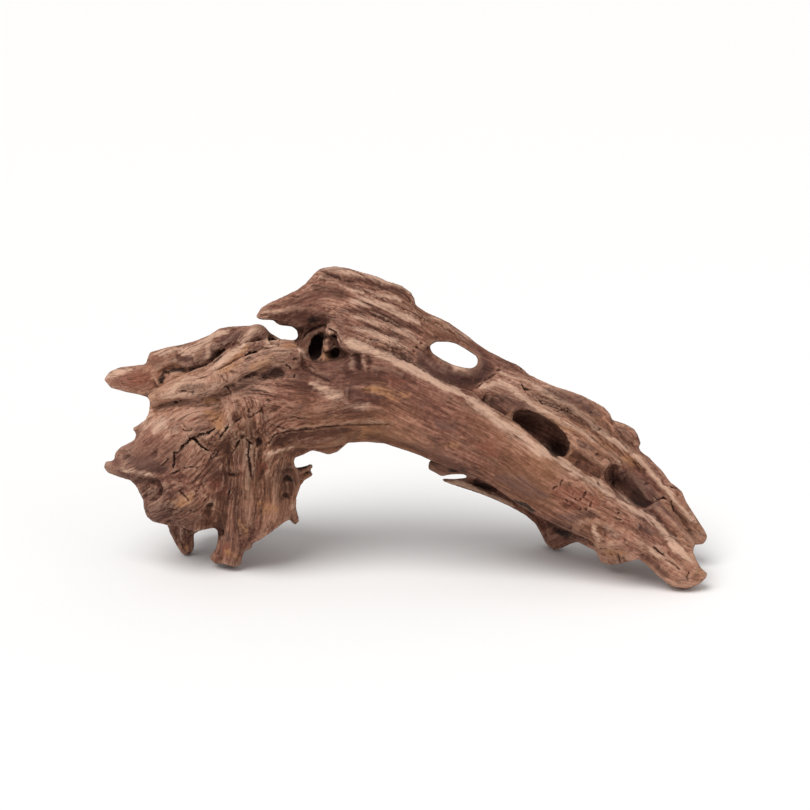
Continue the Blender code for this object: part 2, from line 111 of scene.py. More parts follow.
# The grain runs along these lines through the middles of the limbs, and along strands near the skin. Each
# has a layer, a reach in millimetres, and points given as across, rise and depth. Neighbours are on
# different layers, and each layer's pattern fades out where two of its own lines are equally near.
GRAIN_LINES = {
    "trunk": (0, 24, [(-52, 108, -4), (-20, 114, -6), (5, 104, -10), (32, 91, -14), (62, 75, -19),
                      (90, 56, -24), (117, 41, -29), (143, 27, -34), (165, 13, -40), (183, -1, -44),
                      (202, -5, -43)]),
    "trunk_into_column": (1, 20, [(-30, 100, -8), (-60, 97, -10), (-84, 88, -14), (-97, 70, -14),
                                  (-100, 46, -12), (-106, 25, -6), (-116, 6, -2)]),
    "third_strand": (2, 12, [(-50, 112, -14), (-80, 117, -18), (-104, 120, -18), (-125, 116, -16),
                             (-150, 112, -10), (-168, 108, -4)]),
    "second_strand": (1, 10, [(-66, 141, -8), (-92, 140, -14), (-110, 133, -18), (-126, 124, -18),
                              (-143, 118, -15), (-160, 113, -9)]),
    "first_strand": (0, 8, [(-90, 158, 10), (-105, 150, 6), (-116, 139, 0), (-130, 127, -2),
                            (-150, 122, -4), (-166, 117, -2)]),
    "crown_root": (2, 12, [(-82, 145, 16), (-108, 149, 16), (-124, 147, 18), (-140, 140, 20),
                           (-160, 131, 20), (-180, 124, 20), (-203, 125, 20)]),
    "dome": (1, 22, [(-116, 104, -10), (-135, 101, -18), (-150, 93, -20), (-165, 81, -12), (-180, 72, -4),
                     (-203, 66, 2)]),
    "left_flank": (2, 20, [(-116, 94, -20), (-127, 80, -24), (-140, 62, -22), (-157, 51, -14),
                           (-173, 42, -4)]),
    "column": (0, 18, [(-116, 112, -14), (-111, 96, -22), (-110, 78, -26), (-112, 55, -26),
                       (-114, 35, -18), (-118, 8, -6)]),
    "left_peg": (1, 12, [(-138, 60, 0), (-145, 40, 14), (-147, 25, 22), (-145, 5, 25)]),
    "right_side": (2, 16, [(-76, 92, 4), (-82, 72, 6), (-82, 52, 10), (-90, 34, 8), (-104, 18, 2)]),
    "roof": (1, 16, [(-100, 168, 6), (-80, 171, 10), (-54, 178, 15), (-25, 168, 14), (0, 156, 13),
                     (25, 141, 14), (45, 129, 16), (62, 120, 19), (80, 115, 22), (105, 104, 25),
                     (131, 85, 25), (158, 58, 19), (183, 35, 8), (202, 19, 1)]),
    "groove": (2, 10, [(-40, 146, 8), (-22, 140, 8), (0, 133, 7), (35, 119, 7), (60, 107, 5), (90, 88, 3),
                       (118, 70, 0), (140, 54, -4), (160, 37, -10), (189, 12, -22)]),
    "neck": (2, 14, [(-58, 118, 6), (-58, 134, 13), (-56, 154, 18), (-46, 168, 18)]),
    "skirt": (2, 8, [(8, 104, 20), (41, 92, 26), (80, 74, 31), (112, 54, 32), (142, 39, 20),
                     (158, 34, 10)]),
    "flap": (0, 6, [(24, 58, 32), (52, 54, 37), (70, 47, 41), (82, 41, 43), (92, 30, 43), (98, 14, 42)]),
    "heel": (1, 13, [(126, 40, -26), (136, 25, -20), (141, 12, -12), (142, 8, -8)]),
    "heel_ledge": (2, 10, [(99, 20, 37), (112, 25, 20), (126, 23, -2), (146, 18, -22)]),
    "back_root": (0, 12, [(-60, 128, 16), (-88, 128, 36), (-116, 116, 50), (-138, 104, 60),
                          (-164, 96, 73)]),
    "back_rib": (1, 12, [(-50, 104, 12), (-76, 100, 36), (-102, 86, 52), (-126, 66, 56), (-143, 46, 48),
                         (-148, 32, 36)]),
    "back_knuckle": (2, 11, [(-62, 95, 18), (-82, 72, 40), (-98, 54, 50), (-116, 37, 46)]),
}
GRAIN_STEP = 4.0
LAYERS = 3

# Forms on the near side. Each stroke has a half width and a height in millimetres, negative
# for a furrow, and points across and rise.
CREST_FORMS = [
    (3.0, 1.8, [(-42, 151), (-34, 147.5), (-21, 142.5), (-5, 137), (10, 130), (23, 122.5), (37, 115),
                (50, 107.5)]),
    (3.0, 1.8, [(50, 107.5), (60, 101), (70, 94), (82, 85), (95, 75.5), (108, 66.5), (117, 61),
                (128, 55)]),
    (3.0, 1.6, [(128, 55), (142, 48), (157, 37.5), (170, 28), (179, 17), (192, 4)]),
    (3.4, -2.6, [(-22, 149), (-4, 142.5), (6, 136.5)]),
    (3.4, -3.0, [(52, 113), (63, 106), (69, 101)]),
    (3.2, -2.4, [(112, 70), (122, 64), (131, 59)]),
    (3.0, -2.4, [(168, 35), (175, 28), (182, 19), (190, 10)]),
    (3.0, 1.0, [(20, 118), (38, 108), (56, 96), (74, 83)]),
]
WINDOW_FORMS = [
    (5.0, -3.4, [(8, 141), (16, 134), (26, 128), (38, 122.5), (48, 122.5), (55, 129), (57, 138)]),
    (3.0, 1.6, [(20, 137), (28, 133), (38, 129.5), (45, 129.5)]),
    (2.4, -1.6, [(18, 155), (28, 155.5), (38, 152)]),
]
PLATE_FORMS = [
    (3.0, 1.5, [(48, 119), (54, 121.5), (62, 123), (70, 121), (78, 114), (86, 108), (96, 103), (105, 98),
                (112, 92), (120, 89), (130, 84)]),
    (4.0, -1.7, [(57, 113), (68, 111), (80, 105.5)]),
    (2.6, 1.5, [(84, 123), (92, 117), (101, 111.5), (111, 106.5), (120, 99.5), (130, 91.5), (140, 83.5),
                (150, 76.5)]),
    (2.4, 1.7, [(150, 76.5), (158, 70), (164, 62.5), (170, 55.5), (177, 47.5), (185, 39), (195, 27)]),
    (3.4, -1.7, [(88, 115), (99, 108), (110, 101), (124, 93), (136, 84)]),
    (3.4, -2.0, [(86, 126), (98, 117), (110, 112.5), (124, 104), (136, 93), (146, 83.5), (156, 75)]),
    (2.6, 1.2, [(82, 129), (96, 121), (112, 116), (126, 109), (136, 104)]),
    (4.0, 1.5, [(138, 95), (147, 92), (154, 86)]),
    (3.0, -1.5, [(170, 58.5), (176, 52.5), (182, 47)]),
    (3.0, 1.0, [(176, 55), (183, 47), (189, 38)]),
    (4.0, 2.0, [(138, 62), (146, 60)]),
    (4.5, -1.8, [(148, 48), (157, 43), (166, 37)]),
    (3.4, 1.0, [(168, 40), (174, 35), (182, 27)]),
    (3.0, -1.4, [(128, 76), (132, 71)]),
    (3.0, 1.0, [(114, 86), (124, 80), (134, 75), (146, 70)]),
]
ROOF_FORMS = [
    (2.2, 0.7, [(-58, 198), (-48, 198.5), (-38, 196.5), (-26, 193.5), (-14, 189.5), (0, 185)]),
    (2.4, -0.8, [(-56, 195), (-46, 192.8), (-34, 190.5), (-20, 189), (-6, 184), (3, 180)]),
    (2.0, 0.6, [(-58, 193.5), (-50, 191), (-44, 188.3), (-36, 185), (-26, 182.3), (-12, 179.5),
                (2, 175)]),
    (5.0, -1.1, [(-62, 186), (-52, 184.5), (-40, 182)]),
    (2.6, 0.6, [(-38, 179.5), (-27, 177.5), (-16, 174.5), (-6, 170.5), (4, 165.5), (12, 161)]),
    (3.4, -1.0, [(-38, 172.5), (-26, 171), (-15, 167.3), (-5, 162.8), (4, 158.5), (12, 153)]),
    (2.4, 0.5, [(-36, 167.5), (-24, 164.5), (-12, 160.5), (-2, 156.5), (6, 152.5)]),
    (2.4, -0.7, [(-30, 160.5), (-18, 158.5), (-8, 154.5), (2, 149.5)]),
    (2.6, 0.5, [(-36, 157.5), (-22, 155), (-10, 150.5), (0, 145.5)]),
    (2.0, -0.5, [(-36, 151.5), (-22, 149), (-8, 144), (2, 139.5)]),
    (2.0, 0.4, [(-94, 172), (-82, 176.5), (-70, 180), (-62, 184)]),
    (2.0, 0.5, [(-96, 169.2), (-84, 170), (-72, 171.5), (-58, 172)]),
    (2.2, -0.4, [(-90, 173), (-76, 176), (-62, 178)]),
    (5.0, -1.4, [(-88, 165.5), (-74, 165), (-60, 165), (-48, 165.5)]),
    (2.4, 0.5, [(-46, 172), (-42, 162), (-39, 153)]),
    (2.0, 0.6, [(-68, 152), (-64, 157), (-58, 159), (-52, 157.5), (-48, 154)]),
    (2.4, 1.1, [(-55, 150), (-54, 143), (-52, 136)]),
]
HEAD_FORMS = [
    # crown root's upper shelf, the face under it and the notch
    (2.6, 1.2, [(-168, 142), (-158, 143.5), (-149, 143.5), (-141, 145), (-134, 149), (-127, 154),
                (-119, 157)]),
    (5.0, 2.0, [(-124, 149), (-132, 142), (-142, 138.5)]),
    (2.2, -1.3, [(-153, 141.5), (-146, 139), (-138, 142), (-131, 145)]),
    (2.4, -2.3, [(-158, 132.5), (-152, 132), (-147, 131), (-140, 131.5), (-133, 133), (-126, 136.5)]),
    (2.2, -2.1, [(-159, 131), (-160.5, 126.5), (-163, 122)]),
    (3.0, 1.4, [(-150, 138), (-158, 136.5), (-166, 131), (-168, 123)]),
    (2.4, 1.0, [(-147, 126), (-141, 128.5), (-134, 128)]),
    # first strand, with the porous slope right of it
    (3.0, 2.1, [(-97, 158), (-105, 151), (-113, 143.5), (-121, 136), (-130, 128.5)]),
    (2.6, 1.4, [(-130, 128.5), (-137, 124.8), (-147, 124.6), (-155, 119), (-164, 113)]),
    (2.2, -1.4, [(-110, 134.5), (-117, 130), (-124, 126.5)]),
    (2.0, -1.2, [(-132, 119.5), (-141, 117.6), (-151, 117.8)]),
    (2.2, 0.9, [(-132, 122.5), (-141, 120.8), (-150, 120)]),
    # second strand and the wavy ground above and below it
    (2.4, 1.3, [(-86, 140), (-96, 136), (-105, 130.5), (-114, 126), (-122, 121.5), (-131, 116.5),
                (-142, 114.8), (-155, 114.5), (-164, 112)]),
    (1.6, -0.9, [(-88, 136.5), (-98, 131.5), (-108, 126)]),
    (1.6, 0.8, [(-84, 134.5), (-95, 129), (-107, 123), (-116, 119.5)]),
    (2.0, -1.0, [(-92, 145), (-99, 138.5), (-104, 135)]),
    (2.6, 1.6, [(-94, 153), (-91, 148), (-84, 144.5), (-76, 143)]),
    (3.0, 1.7, [(-72, 144), (-67.5, 142), (-66, 136)]),
    (3.0, -1.3, [(-96, 127.5), (-87, 129), (-80, 128)]),
    (2.0, 0.9, [(-90, 134), (-82, 137), (-74, 134), (-68, 131)]),
    (2.4, -1.3, [(-112, 121), (-119, 120), (-118, 114)]),
    (2.4, 1.0, [(-122, 114), (-118, 106), (-117, 97)]),
    (2.6, -1.2, [(-114, 111), (-112, 104), (-113, 96)]),
    (2.6, 0.9, [(-108, 108), (-98, 109), (-86, 110), (-72, 108)]),
    (2.2, -1.2, [(-110, 100), (-103, 100.5), (-94, 105), (-84, 105.5)]),
    (2.2, -1.0, [(-166, 107), (-153, 109.5), (-140, 108.5), (-128, 109)]),
    # lens beside the star
    (2.6, -1.0, [(-140, 91), (-134, 91.5), (-129, 92)]),
    (2.4, 0.9, [(-146, 95), (-138, 96), (-130, 95.5)]),
    # knob and the hollow below it
    (2.6, 1.3, [(-201, 67.5), (-188, 65.5), (-176, 62.5), (-164, 61)]),
    (2.4, -1.3, [(-186, 60), (-176, 57.5), (-166, 57)]),
    (5.0, 1.7, [(-170, 53), (-166, 48)]),
    (3.0, -1.0, [(-188, 74), (-178, 72), (-168, 75)]),
    (2.0, 1.2, [(-161, 58), (-158.5, 53), (-159.5, 47), (-164, 42)]),
    (1.6, 0.8, [(-157, 58.5), (-150, 54.5), (-142, 53)]),
    (3.0, 1.0, [(-168, 40), (-158, 42.5), (-148, 42), (-139, 43)]),
    (2.4, -1.2, [(-160, 38.5), (-150, 37), (-140, 36.5), (-128, 38)]),
    (2.4, 0.8, [(-140, 33), (-130, 33), (-124, 30)]),
    # column's flutes and the cleft at its top
    (2.0, 1.0, [(-108, 84), (-107, 74), (-106, 62), (-105, 50)]),
    (2.0, 0.9, [(-100.5, 80), (-99.5, 70), (-99, 58), (-97, 46)]),
    (1.8, -0.9, [(-96, 76), (-95, 66), (-94, 55), (-92, 46)]),
    (2.0, 0.8, [(-90, 74), (-88.5, 62), (-87, 50), (-86, 40)]),
    (1.8, -0.8, [(-84, 66), (-83, 56), (-84, 46)]),
    (2.4, -1.4, [(-112, 82), (-108, 86), (-104, 86)]),
    (2.6, -1.2, [(-119, 84), (-117, 72), (-118, 60), (-119, 48), (-121, 38)]),
    (3.0, 0.9, [(-124, 66), (-116, 66), (-108, 66)]),
    (2.2, -1.0, [(-121, 61.5), (-114, 61), (-108, 63)]),
    (2.6, 1.2, [(-96, 71), (-90, 75), (-82, 78.5), (-72, 80.5)]),
    (4.0, -2.1, [(-78, 66), (-77.5, 57), (-79, 47)]),
    (2.0, 1.0, [(-73, 45), (-76, 39), (-80, 34)]),
    (2.6, -1.0, [(-122, 36), (-122, 28), (-123, 20)]),
]
TRUNK_FORMS = [
    (4.5, -1.4, [(-42, 128), (-31, 126.5), (-20, 125), (-10, 123)]),
    (2.0, 1.4, [(-37, 143), (-35, 137), (-36, 131)]),
    (2.0, -1.8, [(-32.5, 143), (-31, 137), (-31, 131)]),
    (2.0, 1.4, [(-28, 143), (-27, 136), (-25, 131)]),
    (2.0, -1.2, [(-24.5, 141), (-23, 135)]),
    (3.4, 1.6, [(-24, 133.5), (-12, 132), (0, 127.5)]),
    (6.0, 1.4, [(-62, 122), (-52, 117), (-42, 112)]),
    (4.0, -1.6, [(-38, 117), (-30, 116), (-22, 118)]),
    (1.4, 0.7, [(-64, 132.5), (-57, 130), (-50, 127.5)]),
    (1.4, -0.7, [(-64, 129.5), (-57, 126.5), (-50, 124)]),
    (1.4, 0.7, [(-63, 126.5), (-56, 123.5), (-50, 121.5)]),
    (1.6, 1.4, [(-86, 91), (-76, 93.5), (-62, 94), (-50, 96), (-38, 97.5), (-24, 97.8), (-12, 97)]),
    (4.0, -1.8, [(-88, 83), (-76, 86), (-62, 87), (-48, 89), (-34, 90.5)]),
    (3.0, 1.0, [(-62, 106), (-46, 107), (-30, 106.5), (-14, 105)]),
    (5.0, -1.2, [(62, 74), (84, 60), (104, 46)]),
    (3.0, 1.2, [(66, 88), (82, 77), (98, 65), (112, 56)]),
]
FOOT_FORMS = [
    (2.6, 1.6, [(115, 29), (122, 30.5), (130, 29), (140, 27)]),
    (3.0, -1.8, [(116, 24), (121, 20), (126, 15)]),
    (2.2, 2.0, [(126.5, 28), (127, 21), (128.5, 15)]),
    (3.4, -1.4, [(132, 23), (140, 20), (148, 17)]),
    (3.0, 1.4, [(133, 15.5), (142, 16), (150, 17.5), (160, 14)]),
    (4.0, -2.6, [(155, 27), (161, 24), (167, 20.5), (175, 15)]),
    (2.4, 1.6, [(152, 20), (162, 13.5), (170, 8), (180, 1)]),
    (2.6, -2.4, [(157, 8), (164, 4), (170, -1)]),
    (2.6, 1.4, [(176, 18), (184, 10), (192, 3), (197, -3)]),
    (2.2, -1.4, [(174, 11), (182, 4), (189, -3)]),
    (2.6, 1.2, [(134, 44), (144, 40), (154, 32)]),
    (2.6, -1.4, [(104, 41), (116, 38), (128, 34)]),
    (4.0, -2.6, [(96, 26), (104, 24), (111, 22)]),
    (2.0, 1.6, [(44, 52.5), (56, 48.5), (68, 43), (79, 37)]),
    (2.6, -2.4, [(45, 56.5), (54, 53), (62, 49.5)]),
]

FORMS = CREST_FORMS + WINDOW_FORMS + PLATE_FORMS + ROOF_FORMS + HEAD_FORMS + TRUNK_FORMS + FOOT_FORMS

# Cracks: half width, depth and points. They are sharp, run out at both ends, and are painted black inside,
# as dirt and painted shade.
CRACKS = [
    # the star on the dome
    (1.3, 4.0, [(-144, 85.5), (-141, 86.5), (-137, 87.2), (-133, 88.7), (-129, 90.8), (-126.5, 93)]),
    (1.3, 4.0, [(-139.5, 86.5), (-142.5, 85.5), (-145, 83), (-148, 80), (-150.5, 77)]),
    (1.2, 3.6, [(-142, 87), (-139.5, 84.5), (-137.5, 82), (-135, 80), (-131.5, 77.7)]),
    (0.7, 1.6, [(-148, 92), (-145.5, 90.5), (-142.8, 90.6), (-141.5, 92.3)]),
    (1.0, 2.2, [(-150.5, 76.5), (-154, 76.2), (-153.7, 71), (-154.3, 66)]),
    (0.9, 1.8, [(-155.5, 62), (-153, 63.5), (-150, 65.3)]),
    (0.8, 1.4, [(-148, 65.7), (-144, 66.8), (-141, 67.7)]),
    (0.8, 1.2, [(-140, 66.6), (-136, 68)]),
    (0.8, 1.4, [(-162, 67.5), (-157, 72.5)]),
    # the column's slit, the cleft and the short ones beside them
    (0.9, 2.4, [(-104.2, 83), (-104.6, 77), (-103.6, 70), (-102.6, 64), (-102.6, 59)]),
    (1.0, 2.2, [(-118.3, 94.5), (-121, 89), (-123.3, 85)]),
    (1.0, 2.0, [(-109, 85.5), (-113, 80), (-116, 76)]),
    (0.9, 1.6, [(-106, 84.5), (-102, 82)]),
    (0.8, 1.4, [(-112, 97.5), (-109, 100.5)]),
    (0.8, 1.5, [(-105, 99.5), (-100, 102.5), (-95, 105)]),
    (0.8, 1.0, [(-86, 94), (-76, 92.5)]),
    (0.7, 1.0, [(-78, 99.7), (-70, 99), (-65, 99.2)]),
    (0.8, 1.2, [(-130.5, 71.5), (-126, 75), (-123, 78.5)]),
    (0.8, 1.2, [(-129, 75), (-125.5, 79)]),
    (0.8, 1.2, [(-119, 48), (-115, 52)]),
    # the long crease above the arch
    (0.8, 1.1, [(-92, 81), (-87, 87), (-80, 90), (-72, 91), (-61, 91.6), (-52, 93.7), (-40, 95.2)]),
    (0.7, 0.8, [(-40, 95.2), (-28, 95), (-16, 96), (-8, 94.2)]),
    # blade, wavy ground and the nub's folds
    (0.9, 1.6, [(-151.5, 117.8), (-144, 116.3), (-138.5, 117.2)]),
    (1.1, 2.0, [(-79, 135.2), (-75.8, 132.3)]),
    (1.1, 1.8, [(-73.8, 129), (-74.6, 125.7)]),
    (0.9, 1.6, [(-63.5, 134.3), (-60, 131.7)]),
    (0.7, 1.0, [(-64, 131), (-57, 127), (-50, 124.5)]),
    (0.8, 1.2, [(-121, 122), (-118.5, 119.5), (-117, 117)]),
    # lower head
    (1.0, 1.8, [(-158.5, 39.3), (-152, 38.2), (-146, 36.8)]),
    (1.0, 1.8, [(-145.3, 38.2), (-141, 36.8), (-137.5, 37.6)]),
    (0.8, 1.2, [(-152, 52), (-148, 48.5), (-144, 44.5)]),
    # arc over the pits under the beak
    (1.1, 2.4, [(-67.5, 153), (-63.5, 157.8), (-58, 160.3), (-53, 160.2), (-48, 157.5), (-44.5, 153),
                (-42.3, 149)]),
    # roof
    (0.9, 1.6, [(-56, 196.2), (-50, 194.2), (-42, 192.2), (-34, 190.8)]),
    (0.8, 1.4, [(-20, 179.6), (-10, 178.3)]),
    (0.8, 1.4, [(-2, 173), (4, 170.3), (8, 168)]),
    (0.9, 1.5, [(11, 165.5), (16, 163.3), (21, 160.5)]),
    (1.0, 1.8, [(1.5, 181.3), (4, 179.3), (6, 176.5)]),
    (0.9, 1.6, [(-23, 169.3), (-14, 166.2), (-8, 163.3)]),
    (0.9, 1.6, [(-14, 142.2), (-6, 140.6), (3, 137.3)]),
    (0.8, 1.4, [(24, 160.3), (30, 157.8), (36, 154)]),
    (0.8, 1.4, [(-76, 179.5), (-70, 180.3)]),
    (0.8, 1.4, [(-96, 168.6), (-91, 169)]),
    (0.8, 1.3, [(-34, 188), (-22, 185.6), (-12, 184)]),
    (0.8, 1.2, [(-24, 153), (-12, 149), (-4, 144.5)]),
    # plate
    (1.0, 1.8, [(78.3, 121.8), (79.3, 119.2), (82, 117.8), (85.3, 117.3)]),
    (0.9, 1.6, [(53, 125.3), (57, 128), (60.5, 129.7)]),
    (0.9, 1.4, [(61.5, 131), (63.5, 132.3)]),
    (0.9, 1.4, [(83.3, 125.6), (85.3, 124)]),
    (0.8, 1.4, [(88, 112.7), (93, 109), (98, 107.2)]),
    (0.8, 1.3, [(68, 124.5), (71, 124)]),
    (0.9, 1.6, [(49.5, 120.3), (52.5, 122.3)]),
    (0.7, 1.2, [(96, 104.5), (102, 103.7), (108, 106)]),
    # foot
    (0.8, 1.3, [(171, 56.5), (175, 52.3), (179.3, 50.3)]),
    (0.8, 1.3, [(161.5, 40.5), (167, 43.5), (171.5, 45.6), (177, 45.5)]),
    (0.8, 1.2, [(177.5, 44.5), (178.8, 41), (179, 37)]),
    (0.9, 1.5, [(118.8, 46.6), (120, 48.5), (121.5, 50.5)]),
    (0.8, 1.3, [(123.3, 40.7), (124.7, 44.3)]),
    (0.9, 1.4, [(98, 50.8), (99.3, 53), (101, 54.5)]),
    (0.7, 1.1, [(103, 53.3), (103.3, 56), (105, 58)]),
    (0.7, 1.1, [(112, 48), (112.4, 50.3)]),
    (0.7, 1.1, [(106.5, 45.5), (108.5, 42.5)]),
    (0.8, 1.3, [(140.3, 32.3), (145.3, 30.8)]),
    (1.3, 3.4, [(165, 13.8), (168, 11.2), (170, 10), (172.3, 7.7)]),
    (0.9, 1.6, [(174, 5), (179, 1.5), (184, -2)]),
    (1.2, 2.2, [(128.3, 57), (129.6, 54.3)]),
    (0.9, 1.4, [(142, 9.7), (143.2, 4.3)]),
    (0.9, 1.3, [(145.5, 10.3), (146.2, 6)]),
    (0.8, 1.2, [(190, -2), (188, -7), (189, -11)]),
]

# Pits: across, rise, half length, half width, how far the long side turns, in degrees, and depth.
PITS = [
    (-102.5, 141, 5.5, 2.8, 35, 4.2), (-99, 146, 6.5, 3.6, 50, 2.0), (-87.5, 150.5, 4.2, 3.0, -35, 6.5),
    (-84, 146.5, 2.2, 1.0, -20, 1.6), (-109, 146, 1.2, 0.9, 0, 1.4), (-113, 137.5, 1.3, 0.9, 20, 1.4),
    (-106, 141.5, 0.9, 0.7, 0, 1.0), (-73, 138, 1.5, 1.1, 0, 1.6), (-153, 110, 1.3, 0.8, 0, 1.2),
    (-149.5, 111, 0.9, 0.7, 0, 1.0), (-97.7, 83, 3.2, 2.2, 75, 3.2), (-108, 86, 2.2, 1.6, 10, 2.2),
    (-167, 76, 4.0, 2.6, 75, 1.4), (-186, 74, 3.0, 2.0, 60, 1.2), (-130, 40.5, 3.0, 2.4, 20, 2.8),
    (-77, 58.5, 3.0, 1.8, 60, 2.2), (-79, 46.5, 3.2, 1.8, 20, 2.2), (-123.5, 23, 1.8, 1.4, 70, 2.4),
    (-59, 147, 9.0, 4.4, 76, 5.0), (-47.5, 147, 8.0, 3.4, 100, 3.2), (-116, 60.7, 3.5, 1.0, 0, 1.2),
    (9, 152, 1.0, 1.0, 0, 1.6), (11, 149.7, 1.2, 1.0, 0, 1.8), (8, 146.8, 1.0, 0.9, 0, 1.6),
    (6, 144, 1.0, 0.9, 0, 1.4), (126, 95.5, 1.3, 0.8, -30, 1.2), (129.5, 92, 1.2, 0.9, 0, 1.2),
    (125, 104, 1.2, 0.9, 0, 1.0), (142.3, 36, 1.4, 1.0, 0, 1.6), (131, 12.4, 1.4, 0.9, 0, 1.6),
    (133.8, 12, 1.2, 0.9, 0, 1.4), (117.5, 38.7, 1.2, 0.8, 0, 1.2), (121.2, 39, 0.9, 1.3, 0, 1.2),
    (116.6, 45.3, 0.8, 1.3, 0, 1.0), (113.6, 45.2, 0.8, 1.1, 0, 1.0), (109.5, 39.6, 1.2, 0.8, 0, 0.8),
    (147, 17, 0.9, 1.4, 0, 1.0), (196, -5, 1.0, 0.8, 0, 1.0), (138, 88.5, 1.3, 0.8, 0, 1.2),
    (161, 55.5, 1.6, 1.4, 0, 1.4), (-144, 8.8, 1.4, 1.0, 0, 1.0),
]

# Soft spots that say how rough the grain stands up: across, rise, radius and roughness.
ROUGHNESS_SPOTS = [
    (-190, 124, 18, 0.3), (-150, 137, 22, 0.5), (-105, 138, 28, 0.85), (-142, 116, 18, 0.75),
    (-158, 92, 24, 0.35), (-130, 78, 16, 0.75), (-110, 75, 26, 0.85), (-150, 66, 16, 0.6),
    (-145, 46, 24, 0.75), (-118, 52, 18, 0.7), (-100, 30, 26, 0.65), (-120, 12, 16, 0.5),
    (-50, 116, 26, 0.3), (-60, 94, 22, 0.65), (-15, 104, 30, 0.4), (20, 104, 30, 0.35),
    (50, 82, 30, 0.32), (90, 58, 24, 0.35), (112, 48, 18, 0.7), (145, 38, 20, 0.65), (165, 10, 26, 0.55),
    (190, -5, 18, 0.45), (-75, 175, 22, 0.55), (-48, 183, 14, 0.45), (-20, 172, 26, 0.8),
    (0, 155, 22, 0.85), (25, 132, 16, 0.12), (50, 128, 10, 0.15), (70, 122, 16, 0.7),
    (100, 106, 22, 0.75), (130, 88, 20, 0.7), (72, 108, 9, 0.35), (150, 72, 14, 0.75), (185, 38, 20, 0.6),
    (145, 92, 12, 0.5), (152, 54, 12, 0.3), (50, 53, 12, 0.4), (-55, 145, 12, 0.4), (88, 88, 12, 0.3),
    (-60, 165, 10, 0.25), (100, 24, 12, 0.35), (135, 12, 12, 0.6), (-96, 163, 8, 0.1), (-68, 66, 8, 0.3),
    (32, 60, 8, 0.15),
]

# Soft spots that make the wood lighter or darker than usual: partly its own tone, partly painted shade on
# the undersides and painted light on the upper parts. Across, rise, radius and change.
TONE_AND_PAINTED_LIGHT_SPOTS = [
    (-188, 125, 14, 0.12), (-140, 142, 14, -0.1), (-112, 152, 9, -0.05), (-125, 128, 14, 0.5),
    (-150, 116, 12, 0.5), (-96, 140, 14, 0.5), (-158, 93, 16, 0.15), (-106, 66, 18, -0.3),
    (-145, 46, 18, -0.12), (-118, 12, 12, -0.12), (-84, 60, 12, 0.0), (-92, 40, 12, 0.08),
    (-62, 112, 22, -0.15), (-20, 108, 24, -0.22), (30, 92, 24, -0.12), (70, 66, 24, -0.22),
    (0, 84, 12, 0.0), (20, 122, 10, 0.05), (80, 86, 10, 0.05), (-40, 192, 12, 0.05), (-75, 174, 12, 0.0),
    (-10, 172, 16, -0.1), (-10, 152, 12, 0.5), (30, 130, 12, -0.25), (55, 134, 10, -0.2),
    (60, 120, 9, 0.45), (92, 108, 10, 0.4), (120, 98, 14, 0.15), (140, 90, 10, -0.1), (165, 62, 10, 0.05),
    (120, 40, 14, -0.05), (160, 25, 14, 0.02), (190, -4, 12, 0.3), (140, 8, 10, 0.4), (-55, 145, 10, 0.1),
]
